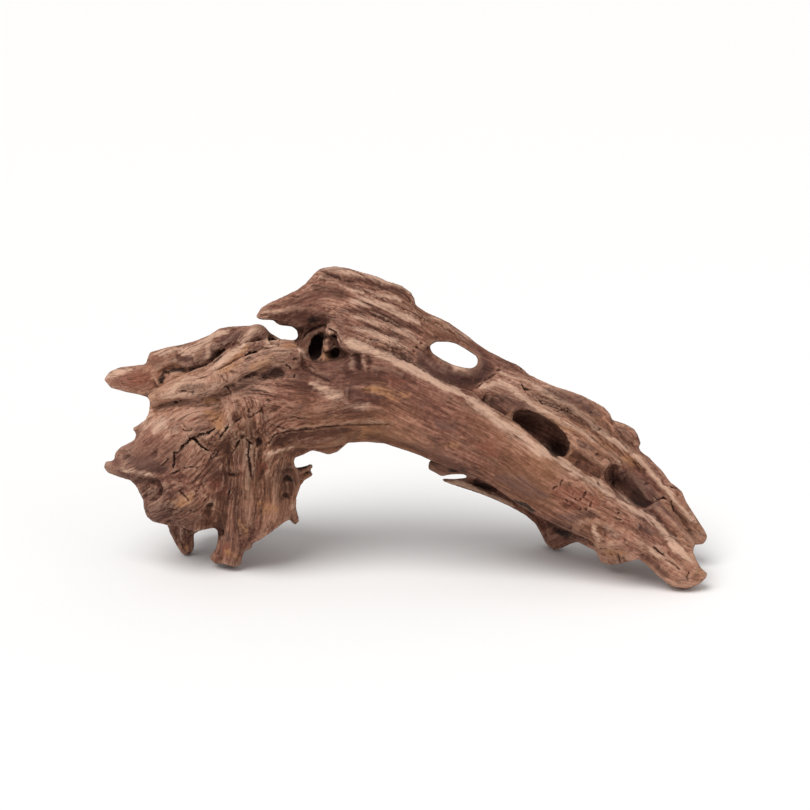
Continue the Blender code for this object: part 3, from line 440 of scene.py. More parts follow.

# Stains, and painted shade and painted highlights, laid on as strokes: half width in millimetres, strength,
# and points across and rise.
# These strokes are painted paler: painted highlights on crests, ridges, upper edges and sides that face the
# light, together with some wear.
PALE = [
    (2.8, 0.9, [(-168, 142), (-158, 144), (-148, 144), (-140, 146), (-133, 150), (-127, 155),
                (-119, 158)]),
    (1.8, 0.8, [(-150, 142), (-145, 140.5), (-141, 142)]),
    (2.4, 0.9, [(-97, 158.5), (-105, 152.5), (-112, 146), (-120, 138.5), (-129, 130.5)]),
    (1.6, 0.9, [(-137, 124.7), (-147, 125.2), (-152, 122.5), (-157, 118), (-164, 113.5)]),
    (2.8, 0.7, [(-163, 112.5), (-150, 115), (-140, 115), (-132, 117), (-125, 121.5)]),
    (2.2, 0.6, [(-99, 158), (-93, 154), (-89, 148), (-82, 144.5), (-76, 142)]),
    (2.6, 1.0, [(-71, 144.5), (-67.5, 142), (-66, 138)]),
    (8.0, 0.7, [(-161, 99), (-166, 90)]),
    (6.0, 0.5, [(-160, 86), (-152, 92)]),
    (5.0, 0.5, [(-174, 91), (-168, 104)]),
    (2.2, 0.6, [(-192, 66), (-180, 64), (-168, 61.5)]),
    (3.0, 0.7, [(-198, 127), (-193, 130), (-182, 132)]),
    (4.5, 0.5, [(-64, 123), (-52, 117), (-38, 111)]),
    (4.0, 0.4, [(-40, 108), (-24, 107)]),
    (3.2, 1.0, [(-40, 150), (-25, 145.5), (-10, 140), (0, 135.5), (10, 130), (20, 124.5), (30, 119),
                (40, 113)]),
    (3.4, 1.0, [(40, 113), (50, 107), (62, 98.5), (75, 89), (85, 82), (97, 73.5), (108, 66.5),
                (118, 60.5)]),
    (3.0, 0.9, [(118, 60.5), (130, 53.5), (141, 47.5), (152, 40.5), (162, 34), (170, 27), (180, 15),
                (190, 5)]),
    (2.6, 0.8, [(-57, 198), (-48, 199), (-38, 197.5), (-28, 195), (-16, 191.5), (-4, 187), (3, 183)]),
    (1.5, 0.7, [(-58, 194.2), (-50, 191.3), (-44, 188.5), (-36, 185.2), (-26, 182.5), (-14, 180),
                (0, 176)]),
    (2.8, 0.8, [(-36, 179), (-28, 177.5), (-18, 175), (-8, 171), (2, 166.5), (10, 162)]),
    (1.8, 0.6, [(-36, 167), (-24, 164.5), (-12, 160.5), (-2, 157), (7, 152.5)]),
    (3.0, 0.6, [(-35, 158.5), (-20, 156.5), (-8, 151), (1, 146)]),
    (2.0, 0.5, [(12, 168), (22, 164), (34, 157), (44, 150.5)]),
    (1.9, 0.9, [(49, 119.5), (56, 121.7), (63, 122.5), (70, 120.5), (77, 114), (85, 108), (95, 103),
                (104, 98.5)]),
    (1.9, 0.8, [(104, 98.5), (111, 93), (120, 89.5), (129, 84.5)]),
    (1.8, 0.9, [(84, 123), (92, 117), (101, 111.5), (110, 107), (120, 99.5), (130, 91.5), (140, 83.5),
                (150, 76.5)]),
    (1.5, 1.0, [(150, 76.5), (158, 70), (164, 62.5), (170, 55.5), (177, 47.5), (185, 39), (194, 29)]),
    (3.5, 0.6, [(86, 113), (100, 107), (113, 101)]),
    (3.0, 0.5, [(62, 130), (74, 127), (82, 122)]),
    (2.2, 0.6, [(78, 132), (90, 124), (104, 119)]),
    (2.0, 0.5, [(140, 96.5), (150, 93.5)]),
    (2.2, 0.7, [(29, 136.5), (34, 133), (42, 130.5)]),
    (1.6, 0.9, [(127, 28), (127.3, 21), (129, 16)]),
    (3.4, 0.7, [(131, 26), (136, 22), (142, 20)]),
    (1.3, 1.0, [(163, 12.5), (167.5, 9.3), (172.5, 6)]),
    (2.0, 0.6, [(177, 15), (186, 8), (192, 2)]),
    (1.8, 0.8, [(26, 57), (36, 55), (47, 51.7), (60, 46.5), (72, 41)]),
    (3.0, 0.6, [(-148, 27), (-150, 18)]),
    (2.0, 0.6, [(-74, 44), (-77, 38)]),
    (2.0, 0.6, [(-94, 74), (-84, 78), (-74, 80)]),
    (3.0, 0.4, [(-96, 171), (-84, 171.5), (-72, 173)]),
]
GOLDEN = [
    (6.5, 0.9, [(-106, 148), (-112, 142), (-119, 134), (-124, 131)]),
    (7.0, 0.8, [(-102, 132), (-94, 137), (-86, 141)]),
    (6.0, 0.8, [(-136, 111), (-126, 112)]),
    (8.0, 0.8, [(-132, 103), (-124, 99), (-122, 90)]),
    (4.0, 0.9, [(-54, 147), (-52, 139)]),
    (5.0, 0.6, [(-84, 147.5), (-72, 148)]),
    (6.0, 0.6, [(-26, 118), (-12, 116), (2, 113)]),
    (6.0, 0.5, [(-40, 88), (-18, 89)]),
    (9.0, 0.8, [(-98, 43), (-88, 37)]),
    (6.0, 0.7, [(-112, 30), (-107, 20)]),
    (6.0, 0.7, [(-158, 43), (-146, 44), (-142, 48)]),
    (5.0, 0.6, [(-120, 10), (-112, 7)]),
    (3.0, 0.7, [(-146, 12)]),
    (5.5, 0.9, [(142, 73), (150, 70), (157, 66.5)]),
    (7.0, 0.8, [(134, 10), (146, 9)]),
    (5.0, 0.5, [(126, 50), (132, 47)]),
    (6.0, 0.5, [(-22, 148), (-8, 144)]),
    (6.0, 0.4, [(26, 80), (40, 84)]),
    (3.0, 0.7, [(96, 99), (106, 94), (112, 90)]),
    (5.0, 0.4, [(-78, 176), (-88, 172)]),
    (3.0, 0.6, [(197, -4)]),
    (5.0, 0.5, [(130, 83), (138, 80)]),
]
# These strokes are painted shade, in a mauve brown: on the shaded sides of ridges and in grooves, pockets
# and the funnel below the window.
MAUVE = [
    (5.0, 1.0, [(-156, 138.5), (-148, 136.5), (-139, 137), (-131, 140.5), (-124, 147), (-117, 152.5),
                (-109, 156)]),
    (4.0, 0.6, [(-172, 136), (-164, 135), (-160, 140)]),
    (2.4, 0.9, [(-151, 119.3), (-142, 119.5), (-134, 122)]),
    (3.2, 0.9, [(-140, 91.3), (-131, 92)]),
    (5.0, 0.9, [(-96, 128.5), (-87, 130), (-80, 129)]),
    (5.0, 0.6, [(-113, 119), (-104, 118), (-97, 117)]),
    (3.0, 0.7, [(-116, 131), (-112, 130)]),
    (5.0, 0.8, [(-187, 73), (-178, 69), (-168, 67.5), (-159, 66)]),
    (3.5, 0.6, [(-168, 77), (-166, 73)]),
    (4.5, 0.7, [(-36, 142), (-31, 134)]),
    (4.0, 0.6, [(-42, 118), (-27, 115)]),
    (6.0, 0.7, [(22, 96), (34, 93)]),
    (9.0, 0.7, [(62, 61), (78, 55), (94, 47)]),
    (7.0, 0.5, [(-66, 108), (-72, 102)]),
    (5.0, 0.5, [(8, 109), (18, 110)]),
    (5.5, 1.0, [(9, 144), (12, 137), (22, 130.5), (35, 125.5), (47, 125), (54, 130), (55, 138)]),
    (6.0, 0.8, [(56, 113), (66, 112), (77, 107), (88, 101.5)]),
    (5.0, 0.8, [(115, 84), (126, 79)]),
    (4.5, 0.9, [(92, 118.5), (106, 113), (119, 107.5), (132, 100.5)]),
    (5.0, 0.8, [(140, 92), (149, 87)]),
    (8.0, 1.0, [(137, 61), (149, 58), (160, 51), (168, 42)]),
    (5.0, 0.9, [(157, 27.5), (164, 22)]),
    (5.5, 0.7, [(104, 33.5), (118, 33.5), (130, 35)]),
    (5.0, 0.7, [(115, 23), (122, 18)]),
    (5.0, 0.6, [(-84, 68), (-80, 56)]),
    (5.0, 0.6, [(188, 24), (198, 20)]),
    (4.0, 0.6, [(-118, 24), (-117, 17)]),
    (6.0, 0.5, [(-50, 168), (-42, 160)]),
    (5.0, 0.6, [(-34, 173), (-44, 171)]),
]
# These strokes are painted shade, in a dark umber: along furrows, under overhangs such as the beak, and on
# the darker undersides.
UMBER = [
    (2.6, 0.9, [(-56, 195.3), (-46, 193), (-36, 191.5), (-24, 190), (-8, 184.5), (3, 180)]),
    (5.5, 0.8, [(-62, 186), (-50, 183.5), (-38, 181.5)]),
    (3.2, 0.9, [(-38, 172), (-26, 171), (-15, 167.3), (-5, 162.8), (4, 158.5)]),
    (2.6, 0.6, [(-12, 156.5), (-4, 153), (3, 148.5)]),
    (4.6, 1.0, [(-90, 167), (-76, 166), (-62, 165.5), (-48, 165.5)]),
    (7.0, 0.9, [(-104, 84), (-104, 72), (-103, 58)]),
    (13.0, 0.6, [(-130, 62), (-114, 56)]),
    (9.0, 0.6, [(-128, 47), (-108, 50)]),
    (6.0, 1.0, [(-77, 68), (-77, 56), (-78, 46)]),
    (5.5, 0.8, [(-171, 55), (-168, 48)]),
    (5.0, 0.9, [(-90, 84), (-78, 86.5), (-62, 87), (-46, 88), (-30, 90)]),
    (3.6, 0.6, [(-42, 129), (-29, 126), (-15, 124)]),
    (4.0, 0.5, [(-8, 131), (4, 126)]),
    (6.0, 0.6, [(-24, 84), (0, 79), (20, 72), (40, 64)]),
    (8.0, 1.0, [(97, 27), (105, 25), (113, 21)]),
    (3.4, 1.0, [(147, 49), (157, 43), (165, 37), (172, 30)]),
    (2.6, 0.8, [(54, 112), (62, 106), (68, 101)]),
    (2.6, 0.7, [(94, 116), (108, 109), (124, 99), (138, 88)]),
    (4.0, 0.6, [(-122, 34), (-123, 24)]),
    (3.0, 0.8, [(157, 8), (165, 3), (171, -3), (178, -8)]),
    (5.0, 0.5, [(-104, 148), (-98, 144)]),
    (3.0, 0.6, [(-14, 142), (0, 138)]),
    (5.0, 0.5, [(-152, 31), (-138, 31), (-128, 31)]),
    (4.0, 0.6, [(112, 78), (120, 73), (130, 66)]),
    (3.0, 0.7, [(-88, 165), (-76, 162), (-72, 156)]),
    (5.0, 0.6, [(-46, 162), (-42, 154)]),
]
RUSSET = [
    (8.0, 0.8, [(-195, 124), (-184, 124), (-170, 126)]),
    (9.0, 0.8, [(-130, 58), (-118, 48)]),
    (8.0, 0.7, [(-112, 66), (-92, 66)]),
    (7.0, 0.6, [(-12, 127), (0, 124)]),
    (10.0, 0.5, [(48, 82), (66, 75)]),
    (8.0, 1.0, [(98, 52), (112, 46), (126, 43)]),
    (7.0, 0.6, [(186, -6), (192, 1)]),
    (4.0, 0.8, [(0, 182), (3, 179)]),
    (5.0, 0.6, [(150, 89), (154, 86)]),
    (6.0, 0.5, [(180, 50), (186, 42)]),
    (6.0, 0.5, [(-70, 84), (-50, 84)]),
    (6.0, 0.6, [(-120, 12)]),
    (5.0, 0.5, [(70, 108), (62, 112)]),
    (7.0, 0.4, [(142, 30), (152, 28)]),
    (6.0, 0.5, [(-60, 180), (-66, 176)]),
]
# These strokes are painted black shade in pits, holes, the notch and the gaps beside the flap.
BLACK_SHADE = [
    (2.2, 1.0, [(-158.5, 132), (-153, 132.3), (-148.5, 131), (-146.5, 129)]),
    (1.8, 0.9, [(-160, 131), (-161, 126.5), (-163.2, 122)]),
    (1.1, 0.9, [(-145, 132), (-138, 132), (-132, 133.5), (-126, 137), (-121, 141)]),
    (2.2, 0.9, [(-105.3, 139.3), (-101, 141)]),
    (2.2, 1.0, [(-88.8, 151.5), (-86, 149.5)]),
    (3.6, 1.0, [(-58, 152), (-60, 144)]),
    (2.4, 0.8, [(-47, 150), (-47, 143)]),
    (1.6, 0.9, [(-98, 84), (-97, 82)]),
    (1.5, 0.8, [(-109, 86), (-106, 85.3)]),
    (2.0, 1.0, [(-78, 59.5), (-75, 57)]),
    (1.9, 0.9, [(-80, 47), (-77, 46)]),
    (2.0, 0.8, [(-131, 40.5), (-129, 40.5)]),
    (1.8, 0.9, [(-124, 24), (-124, 21)]),
    (2.0, 0.9, [(24, 66.5), (32, 65), (41, 61.8)]),
    (2.4, 1.0, [(46, 57), (54, 54), (60, 51)]),
    (3.5, 0.8, [(100, 24), (110, 21)]),
    (3.0, 0.7, [(-66, 165), (-54, 164.5)]),
    (2.2, 0.7, [(150, 46), (158, 42), (163, 39)]),
    (1.4, 0.8, [(70, 44.5), (80, 41), (88, 36)]),
    (3.0, 0.6, [(46, 122.5), (52, 126)]),
]
# Real stains together with painted shade and painted highlights, in the order of the columns that the
# material reads.
STAIN_AND_PAINTED_LIGHT_STROKES = (PALE, GOLDEN, MAUVE, UMBER, RUSSET, BLACK_SHADE)

# How black each crack is painted, as dirt and painted shade, for every millimetre of its depth, and the
# width of that dark paint as a share of its own.
CRACK_DIRT_AND_SHADE = 0.27
CRACK_DIRT_AND_SHADE_WIDTH = 0.75

# The outline in the view, in stretches, with the wood always on the left hand: points across and rise.
OUTLINE = {
    "horn": [(-170, 143), (-173, 135), (-182, 134), (-190, 133), (-197, 130), (-200.5, 125),
             (-196, 119.5), (-185, 116.5), (-177, 115), (-172, 113.5), (-169.5, 110)],
    "thorn": [(-170, 110), (-170.5, 103), (-173, 98), (-178, 94.5), (-182, 92), (-179, 89.5), (-180, 85)],
    "knob": [(-180, 85), (-184, 82.5), (-190, 79.5), (-193, 76), (-194, 71), (-199.5, 70), (-200.6, 66.5),
             (-198, 63), (-190, 60), (-183, 58), (-179, 54)],
    "lower_left": [(-179, 54), (-176, 48), (-174, 44), (-174, 40), (-172, 34), (-168, 30.5), (-158, 28)],
    "left_peg": [(-158, 28), (-156, 22), (-151.5, 13), (-149, 8.5), (-145.5, 6.8), (-142, 9),
                 (-140.7, 13), (-141, 22), (-137, 24.5), (-127, 26.5)],
    "right_peg": [(-127, 26.5), (-124.5, 24), (-124.5, 19), (-126, 12), (-130.3, 6.3), (-127, 2.5),
                  (-121, 2), (-114, 0), (-109.5, 2), (-108.5, 8), (-106.5, 11.3), (-103, 12),
                  (-101.5, 16), (-97, 18)],
    "under_head": [(-97, 18), (-88, 24.5), (-79, 31), (-77, 31.5), (-73, 28.2), (-70.8, 31), (-73, 40),
                   (-72.5, 47), (-70, 54), (-67, 58)],
    "twigs": [(-67, 58), (-62, 61), (-61.5, 62.3), (-63.5, 64), (-61.3, 67.5), (-63, 68.5), (-68, 66.7),
              (-73, 66), (-74.3, 70), (-73.5, 73)],
    "arch": [(-73.5, 73), (-68, 75), (-62, 78), (-57, 77), (-51, 75), (-45, 77), (-41, 80.5), (-38, 83),
             (-25, 83.5), (-14, 82.5), (0, 78), (10, 74.5), (16.5, 71.5), (15.5, 65.5), (21, 62.5),
             (24.5, 60.5)],
    "slit": [(24.5, 60.5), (29, 61.5), (34, 62), (39, 62), (42, 60), (38, 59), (31, 58.6), (26, 59)],
    "flap": [(26, 59), (24.5, 57.8), (30, 55.5), (38, 53), (50, 49), (60, 45), (70, 40.5), (80, 35),
             (87, 29), (91, 22), (94, 14.5), (98, 11.5), (104, 12.5), (110, 15.5), (115, 17),
             (120, 14.5)],
    "heel": [(120, 14.5), (127, 11), (129.5, 6), (131, 3.2), (136, 1.7), (144, 2.5), (152, 4.5),
             (156, 5.5)],
    "foot": [(156, 5.5), (162, 1), (168, -5), (174, -9.5), (179, -12), (188, -13), (196, -10.5),
             (200.5, -7), (201.5, -4.5), (197, -0.5), (194, 5), (192, 10), (192.3, 13)],
    "second_toe": [(192.3, 13), (194, 15), (199, 15.5), (201.5, 20), (200, 23.5), (194, 33), (187.5, 43),
                   (184.5, 50), (181.5, 53)],
    "back_edge": [(181.5, 53), (177, 56), (171, 64.5), (167, 68), (163, 72.5), (157, 77), (155.5, 80),
                  (157, 82.5), (155, 88), (152.5, 92), (147, 95), (138, 98), (136.5, 102), (133, 106),
                  (126, 110), (118, 114), (110, 117), (100, 120), (90, 124.5), (82, 128.5), (79.5, 131),
                  (75, 134.5), (66, 138.5), (56, 143.5), (47, 149.5), (43, 153), (36, 158), (28, 163.5),
                  (18, 168), (12, 170.8), (7, 174.5)],
    "roof": [(7, 174.5), (5.8, 179), (3.5, 183), (-3, 187.5), (-12, 190.3), (-19, 193.5), (-30, 196.5),
             (-38, 199), (-47, 200.5), (-56, 199), (-60, 196), (-66, 189), (-72, 184.5), (-82, 179.7),
             (-91, 175.7), (-96, 172.5), (-98, 169), (-99.5, 166.7), (-96, 165)],
    "gap": [(-96, 165), (-88, 164.7), (-84, 161.5), (-75, 160.3), (-72, 158), (-71, 153.5), (-74, 151),
            (-83, 151.7), (-90, 156), (-94, 160.5), (-97.5, 162)],
    "crown": [(-97.5, 162), (-105, 160.5), (-118, 159.8), (-124, 158.5), (-131, 154), (-140, 150.5),
              (-149, 148), (-158, 146.5), (-170, 143)],
    "window": [(16.5, 146), (17, 148), (20.5, 150.3), (29, 150.2), (34, 149), (41, 145), (47.5, 140.7),
               (48.8, 137.5), (47.5, 134), (43.7, 132.2), (38, 133), (32.5, 134.5), (25, 138),
               (18.5, 142.3), (16.5, 146)],
}

# How the rim is drawn in, pass by pass: how far it may lie off the outline, and how wide each pull spreads.
RIM_PASSES = ((8.0, 120), (5.0, 50), (3.0, 24), (1.5, 8))
# How far out open air is looked for, how square to the view the rim may be, and how much of a pull's
# weight must reach a point for it to follow fully.
RIM_STEP = 1.1
RIM_SQUARENESS = 0.5
RIM_HOLD = 0.1
# A rim point is drawn only to outline that faces its way by this share. Small pulls weigh at least this.
RIM_AGREEMENT = 0.4
LEAST_PULL = 0.4


def linear(hex_colour):
    """The linear colour of an sRGB hex value, as Blender's sockets take it."""
    parts = [int(hex_colour[k:k + 2], 16) / 255 for k in (1, 3, 5)]
    return (*((p / 12.92 if p <= 0.04045 else ((p + 0.055) / 1.055) ** 2.4) for p in parts), 1.0)


def place(across, rise, depth):
    """The point in the frame, in mm, at that depth on the sight line through across and rise."""
    above_axis = rise - AXIS_RISE
    behind = (depth - rise * UP[1]) / (AHEAD[1] + above_axis * UP[1] / VIEW_DISTANCE)
    spread = 1 + behind / VIEW_DISTANCE
    height = AXIS_RISE + above_axis * spread
    return ZERO + (across * spread, depth, height * UP[2] + behind * AHEAD[2])


def seen(points):
    """Where points in mm are seen in the view: across and rise, as an array of pairs."""
    lines = points - EYE
    scale = VIEW_DISTANCE / (lines @ AHEAD)
    return np.stack((lines[:, 0] * scale, AXIS_RISE + lines @ UP * scale), axis=1)


def choose_only(piece):
    bpy.ops.object.select_all(action="DESELECT")
    piece.select_set(True)
    bpy.context.view_layer.objects.active = piece


def apply_modifiers(piece):
    choose_only(piece)
    for modifier in list(piece.modifiers):
        bpy.ops.object.modifier_apply(modifier=modifier.name)


def rounded_copy(solid, name):
    """A copy of a solid's mesh as a piece of its own, joined up and with its facets rounded off."""
    piece = bpy.data.objects.new(name, solid.data.copy())
    bpy.context.scene.collection.objects.link(piece)
    choose_only(piece)
    bpy.ops.object.mode_set(mode="EDIT")
    bpy.ops.mesh.select_all(action="SELECT")
    bpy.ops.mesh.remove_doubles(threshold=JOINED_WITHIN * MM)
    bpy.ops.object.mode_set(mode="OBJECT")
    smooth = piece.modifiers.new("round", "SUBSURF")
    smooth.levels = smooth.render_levels = 2
    apply_modifiers(piece)
    return piece


def add_parts(piece):
    for root, tip, thick, thin in ADDED_PARTS.values():
        start, end = Vector(place(*root)), Vector(place(*tip))
        bpy.ops.object.select_all(action="DESELECT")
        bpy.ops.mesh.primitive_cone_add(vertices=16, radius1=thick * MM, radius2=thin * MM,
                                        depth=(end - start).length * MM, location=(start + end) / 2 * MM,
                                        rotation=(end - start).to_track_quat("Z", "Y").to_euler())
        piece.select_set(True)
        bpy.context.view_layer.objects.active = piece
        bpy.ops.object.join()


def cut_openings(piece):
    for middle, size, turn in OPENINGS.values():
        bpy.ops.object.select_all(action="DESELECT")
        bpy.ops.mesh.primitive_cube_add(size=MM, location=Vector(place(*middle)) * MM)
        block = bpy.context.active_object
        block.scale = (size[0], size[2], size[1])
        in_view = Matrix.Rotation(math.radians(-turn), 3, "Y")
        block.rotation_euler = (Matrix.Rotation(-VIEW_TILT, 3, "X") @ in_view).to_euler()
        bpy.ops.object.transform_apply(location=True, rotation=True, scale=True)
        opening = piece.modifiers.new("opening", "BOOLEAN")
        opening.operation = "DIFFERENCE"
        opening.object = block
        apply_modifiers(piece)
        bpy.data.objects.remove(block)


def skin_over(piece, voxel, rounds):
    """Gives the piece one even skin of small faces."""
    fuse = piece.modifiers.new("fuse", "REMESH")
    fuse.mode = "VOXEL"
    fuse.voxel_size = voxel * MM
    blur = piece.modifiers.new("blur", "SMOOTH")
    blur.factor = SKIN_BLUR
    blur.iterations = rounds
    apply_modifiers(piece)


def read_points(piece):
    points = np.zeros((len(piece.data.vertices), 3))
    piece.data.vertices.foreach_get("co", points.ravel())
    return points / MM


def write_points(piece, points):
    piece.data.vertices.foreach_set("co", (points * MM).ravel())
    piece.data.update()


def read_normals(piece):
    normals = np.zeros((len(piece.data.vertices), 3))
    piece.data.vertices.foreach_get("normal", normals.ravel())
    return normals


def read_edges(piece):
    edges = np.zeros(len(piece.data.edges) * 2, dtype=np.int64)
    piece.data.edges.foreach_get("vertices", edges)
    return edges.reshape(-1, 2)


def search_tree(piece, points):
    """The piece as a tree that rays can be cast at, in millimetres."""
    return BVHTree.FromPolygons(points.tolist(), [tuple(face.vertices) for face in piece.data.polygons])


def spread_out(values, edges, rounds):
    """Averages per-point values with their neighbours', the given number of times."""
    count = len(values)
    ends = np.concatenate((edges[:, 0], edges[:, 1]))
    others = np.concatenate((edges[:, 1], edges[:, 0]))
    degree = np.maximum(np.bincount(ends, minlength=count), 1)
    for _ in range(rounds):
        columns = [np.bincount(ends, values[others, k], count) / degree for k in range(values.shape[1])]
        values = (values + np.stack(columns, axis=1)) / 2
    return values


def scramble(x, y, z):
    """A repeatable whole number for each cell of a grid."""
    mixed = (x * 73856093) ^ (y * 19349663) ^ (z * 83492791)
    mixed = (mixed ^ (mixed >> 13)) * 1274126177
    return (mixed ^ (mixed >> 16)) & 0xFFFF


def noise(points):
    """Smooth noise between about -1 and 1 at the given points, with cells one unit across."""
    cell = np.floor(points).astype(np.int64)
    part = points - cell
    fade = part * part * part * (part * (part * 6 - 15) + 10)
    total = np.zeros(len(points))
    for corner in range(8):
        step = np.array((corner & 1, corner >> 1 & 1, corner >> 2 & 1))
        picked = scramble(*(cell + step).T)
        away = part - step
        slope_x = (picked & 31) / 15.5 - 1
        slope_y = (picked >> 5 & 31) / 15.5 - 1
        slope_z = (picked >> 10 & 31) / 15.5 - 1
        weight = np.prod(np.where(step == 1, fade, 1 - fade), axis=1)
        total += weight * (slope_x * away[:, 0] + slope_y * away[:, 1] + slope_z * away[:, 2])
    return total * 1.4


def path_distance(flat, path):
    """For each flat position: distance from a polyline, and where along it the nearest point is, 0 to 1."""
    if len(path) == 1:
        return np.linalg.norm(flat - path[0], axis=1), np.full(len(flat), 0.5)
    corners = np.array(path, dtype=float)
    spans = np.diff(corners, axis=0)
    lengths = np.linalg.norm(spans, axis=1)
    starts = np.concatenate(((0,), np.cumsum(lengths)))
    nearest = np.full(len(flat), np.inf)
    along = np.zeros(len(flat))
    for corner, span, length, start in zip(corners, spans, lengths, starts):
        share = np.clip((flat - corner) @ span / length**2, 0, 1)
        away = np.linalg.norm(flat - corner - share[:, None] * span, axis=1)
        closer = away < nearest
        nearest[closer] = away[closer]
        along[closer] = (start + share[closer] * length) / starts[-1]
    return nearest, along


def near_path(flat, path, reach):
    """Which positions lie within reach of a polyline's box."""
    corners = np.array(path, dtype=float)
    return np.flatnonzero(((flat > corners.min(0) - reach) & (flat < corners.max(0) + reach)).all(1))


# What lies more than this behind the first thing seen isn't worked, in millimetres. What faces the view
# by this share or more gets the full work.
COVERED_BY = 5
FULLY_FACING = 0.35
# Strokes, and stains with painted shade and highlights, sway by this much over waves this long, in
# millimetres: broad sway, then finer.
STROKE_SWAYS = ((1.1, 7.0), (0.5, 2.3))
PAINT_SWAYS = ((2.6, 15.0), (1.3, 6.0), (0.5, 2.3))
# How many widths out a form stroke, and the stains with painted shade and highlights, are laid.
STROKE_REACH = 3
PAINT_REACH = 2.5
# A form and a crack start with this share of their height or width, and rise this fast along their length.
FORM_ENDS = (0.3, 8)
CRACK_ENDS = (0.25, 5)
# A crack's mean width, how much it varies and over what length in millimetres, and the height of its lips
# and how far out they stand, as shares of its depth and width.
CRACK_SWELL = (0.8, 0.7, 3.5)
CRACK_LIPS = (0.15, 1.7)
# Pits and cracks have walls of this roundness, and a pit reaches to this many times its ellipse.
WALL_ROUNDNESS = 0.7
PIT_BRIM = 1.15
# These keep one noise from following another that is read at the same places.
NOISE_APART = 40
CRACK_NOISE = 5.5


def squareness(points, normals, tree):
    """How squarely each point faces the view, from -1 to 1, and -1 where something in front hides it."""
    lines = points - EYE
    far = np.linalg.norm(lines, axis=1)
    square = -(normals * lines).sum(1) / far
    eye = Vector(EYE)
    for index in np.flatnonzero(square > 0):
        hit = tree.ray_cast(eye, Vector(lines[index]))[3]
        if hit is not None and hit < far[index] - COVERED_BY:
            square[index] = -1
    return square


def wandering(points, sways):
    """Where points are seen, with the small sway that keeps the listed strokes from looking ruled."""
    flat = seen(points)
    swayed = flat.copy()
    for reach, length in sways:
        waves = np.column_stack((flat / length, np.zeros(len(flat))))
        swayed += reach * np.stack((noise(waves), noise(waves + NOISE_APART)), axis=1)
    return swayed


def run_out(along, ends):
    """The share of its full size that a stroke has at places along it, as it runs out at both ends."""
    start, climb = ends
    return np.clip(np.minimum(along, 1 - along) * climb + start, 0, 1)


def crack_widths(flat, along):
    """How a crack's width varies: it runs out at both ends, and swells and narrows on the way."""
    mean, swing, length = CRACK_SWELL
    waves = np.column_stack((flat / length, np.full(len(flat), CRACK_NOISE)))
    return run_out(along, CRACK_ENDS) * (mean + swing * noise(waves))


def work_by_hand(piece):
    """Works the near side: soft forms first, then pits, then sharp cracks."""
    points, normals = read_points(piece), read_normals(piece)
    facing = np.clip(squareness(points, normals, search_tree(piece, points)) / FULLY_FACING, 0, 1)
    near = np.flatnonzero(facing > 0)
    flat = wandering(points[near], STROKE_SWAYS)
    height = np.zeros(len(near))
    for width, rise, path in FORMS:
        close = near_path(flat, path, STROKE_REACH * width)
        away, along = path_distance(flat[close], path)
        height[close] += rise * np.exp(-(away / width) ** 2) * run_out(along, FORM_ENDS)
    for across, up, long, short, turn, depth in PITS:
        shift = flat - (across, up)
        cos, sin = math.cos(math.radians(turn)), math.sin(math.radians(turn))
        u = shift[:, 0] * cos + shift[:, 1] * sin
        v = shift[:, 1] * cos - shift[:, 0] * sin
        out = np.sqrt((u / long) ** 2 + (v / short) ** 2)
        height -= depth * np.clip(PIT_BRIM - out, 0, 1) ** WALL_ROUNDNESS
    lip_height, lip_place = CRACK_LIPS
    for width, depth, path in CRACKS:
        close = near_path(flat, path, STROKE_REACH * width)
        away, along = path_distance(flat[close], path)
        narrowed = width * crack_widths(flat[close], along)
        groove = np.clip(1 - away / narrowed, 0, 1) ** WALL_ROUNDNESS
        lips = np.exp(-((away - lip_place * width) / width) ** 2) * narrowed / width
        height[close] += (lip_height * lips - groove) * depth
    points[near] += normals[near] * (height * facing[near])[:, None]
    write_points(piece, points)


def even_line(corners):
    """Points a few millimetres apart on a smooth curve through the corners."""
    padded = [2 * corners[0] - corners[1], *corners, 2 * corners[-1] - corners[-2]]
    line = []
    for a, b, c, d in zip(padded, padded[1:], padded[2:], padded[3:]):
        steps = max(1, round(np.linalg.norm(c - b) / GRAIN_STEP))
        for t in np.arange(steps) / steps:
            line.append((2 * b + (c - a) * t + (2 * a - 5 * b + 4 * c - d) * t**2
                         + (3 * b - a - 3 * c + d) * t**3) / 2)
    return np.array([*line, corners[-1]])


# Each line's pattern starts this far from the last line's, in millimetres. A line's strength falls off by
# this power of the distance, and this much is added so that it stays finite.
RUN_APART = 500
LINE_FALLOFF = -4
LINE_CORE = 0.15


def along_line(points, line, reach, seed):
    """Each point's run along the line and offsets from it, in a frame that turns as little as it can."""
    tangents = np.gradient(line, axis=0)
    tangents /= np.linalg.norm(tangents, axis=1)[:, None]
    side = np.cross(tangents[0], AHEAD)
    frames = []
    for tangent in tangents:
        side = side - tangent * (side @ tangent)
        side /= np.linalg.norm(side)
        frames.append((tangent, side, np.cross(tangent, side)))
    frames = np.array(frames)
    runs = np.concatenate(((0,), np.cumsum(np.linalg.norm(np.diff(line, axis=0), axis=1))))
    squared = (line**2).sum(1)[None, :] - 2 * points @ line.T
    nearest = squared.argmin(axis=1)
    offset = points - line[nearest]
    local = np.einsum("nij,nj->ni", frames[nearest], offset)
    local[:, 0] += runs[nearest] + seed * RUN_APART
    strength = (np.linalg.norm(offset, axis=1) / reach + LINE_CORE) ** LINE_FALLOFF
    return local, strength


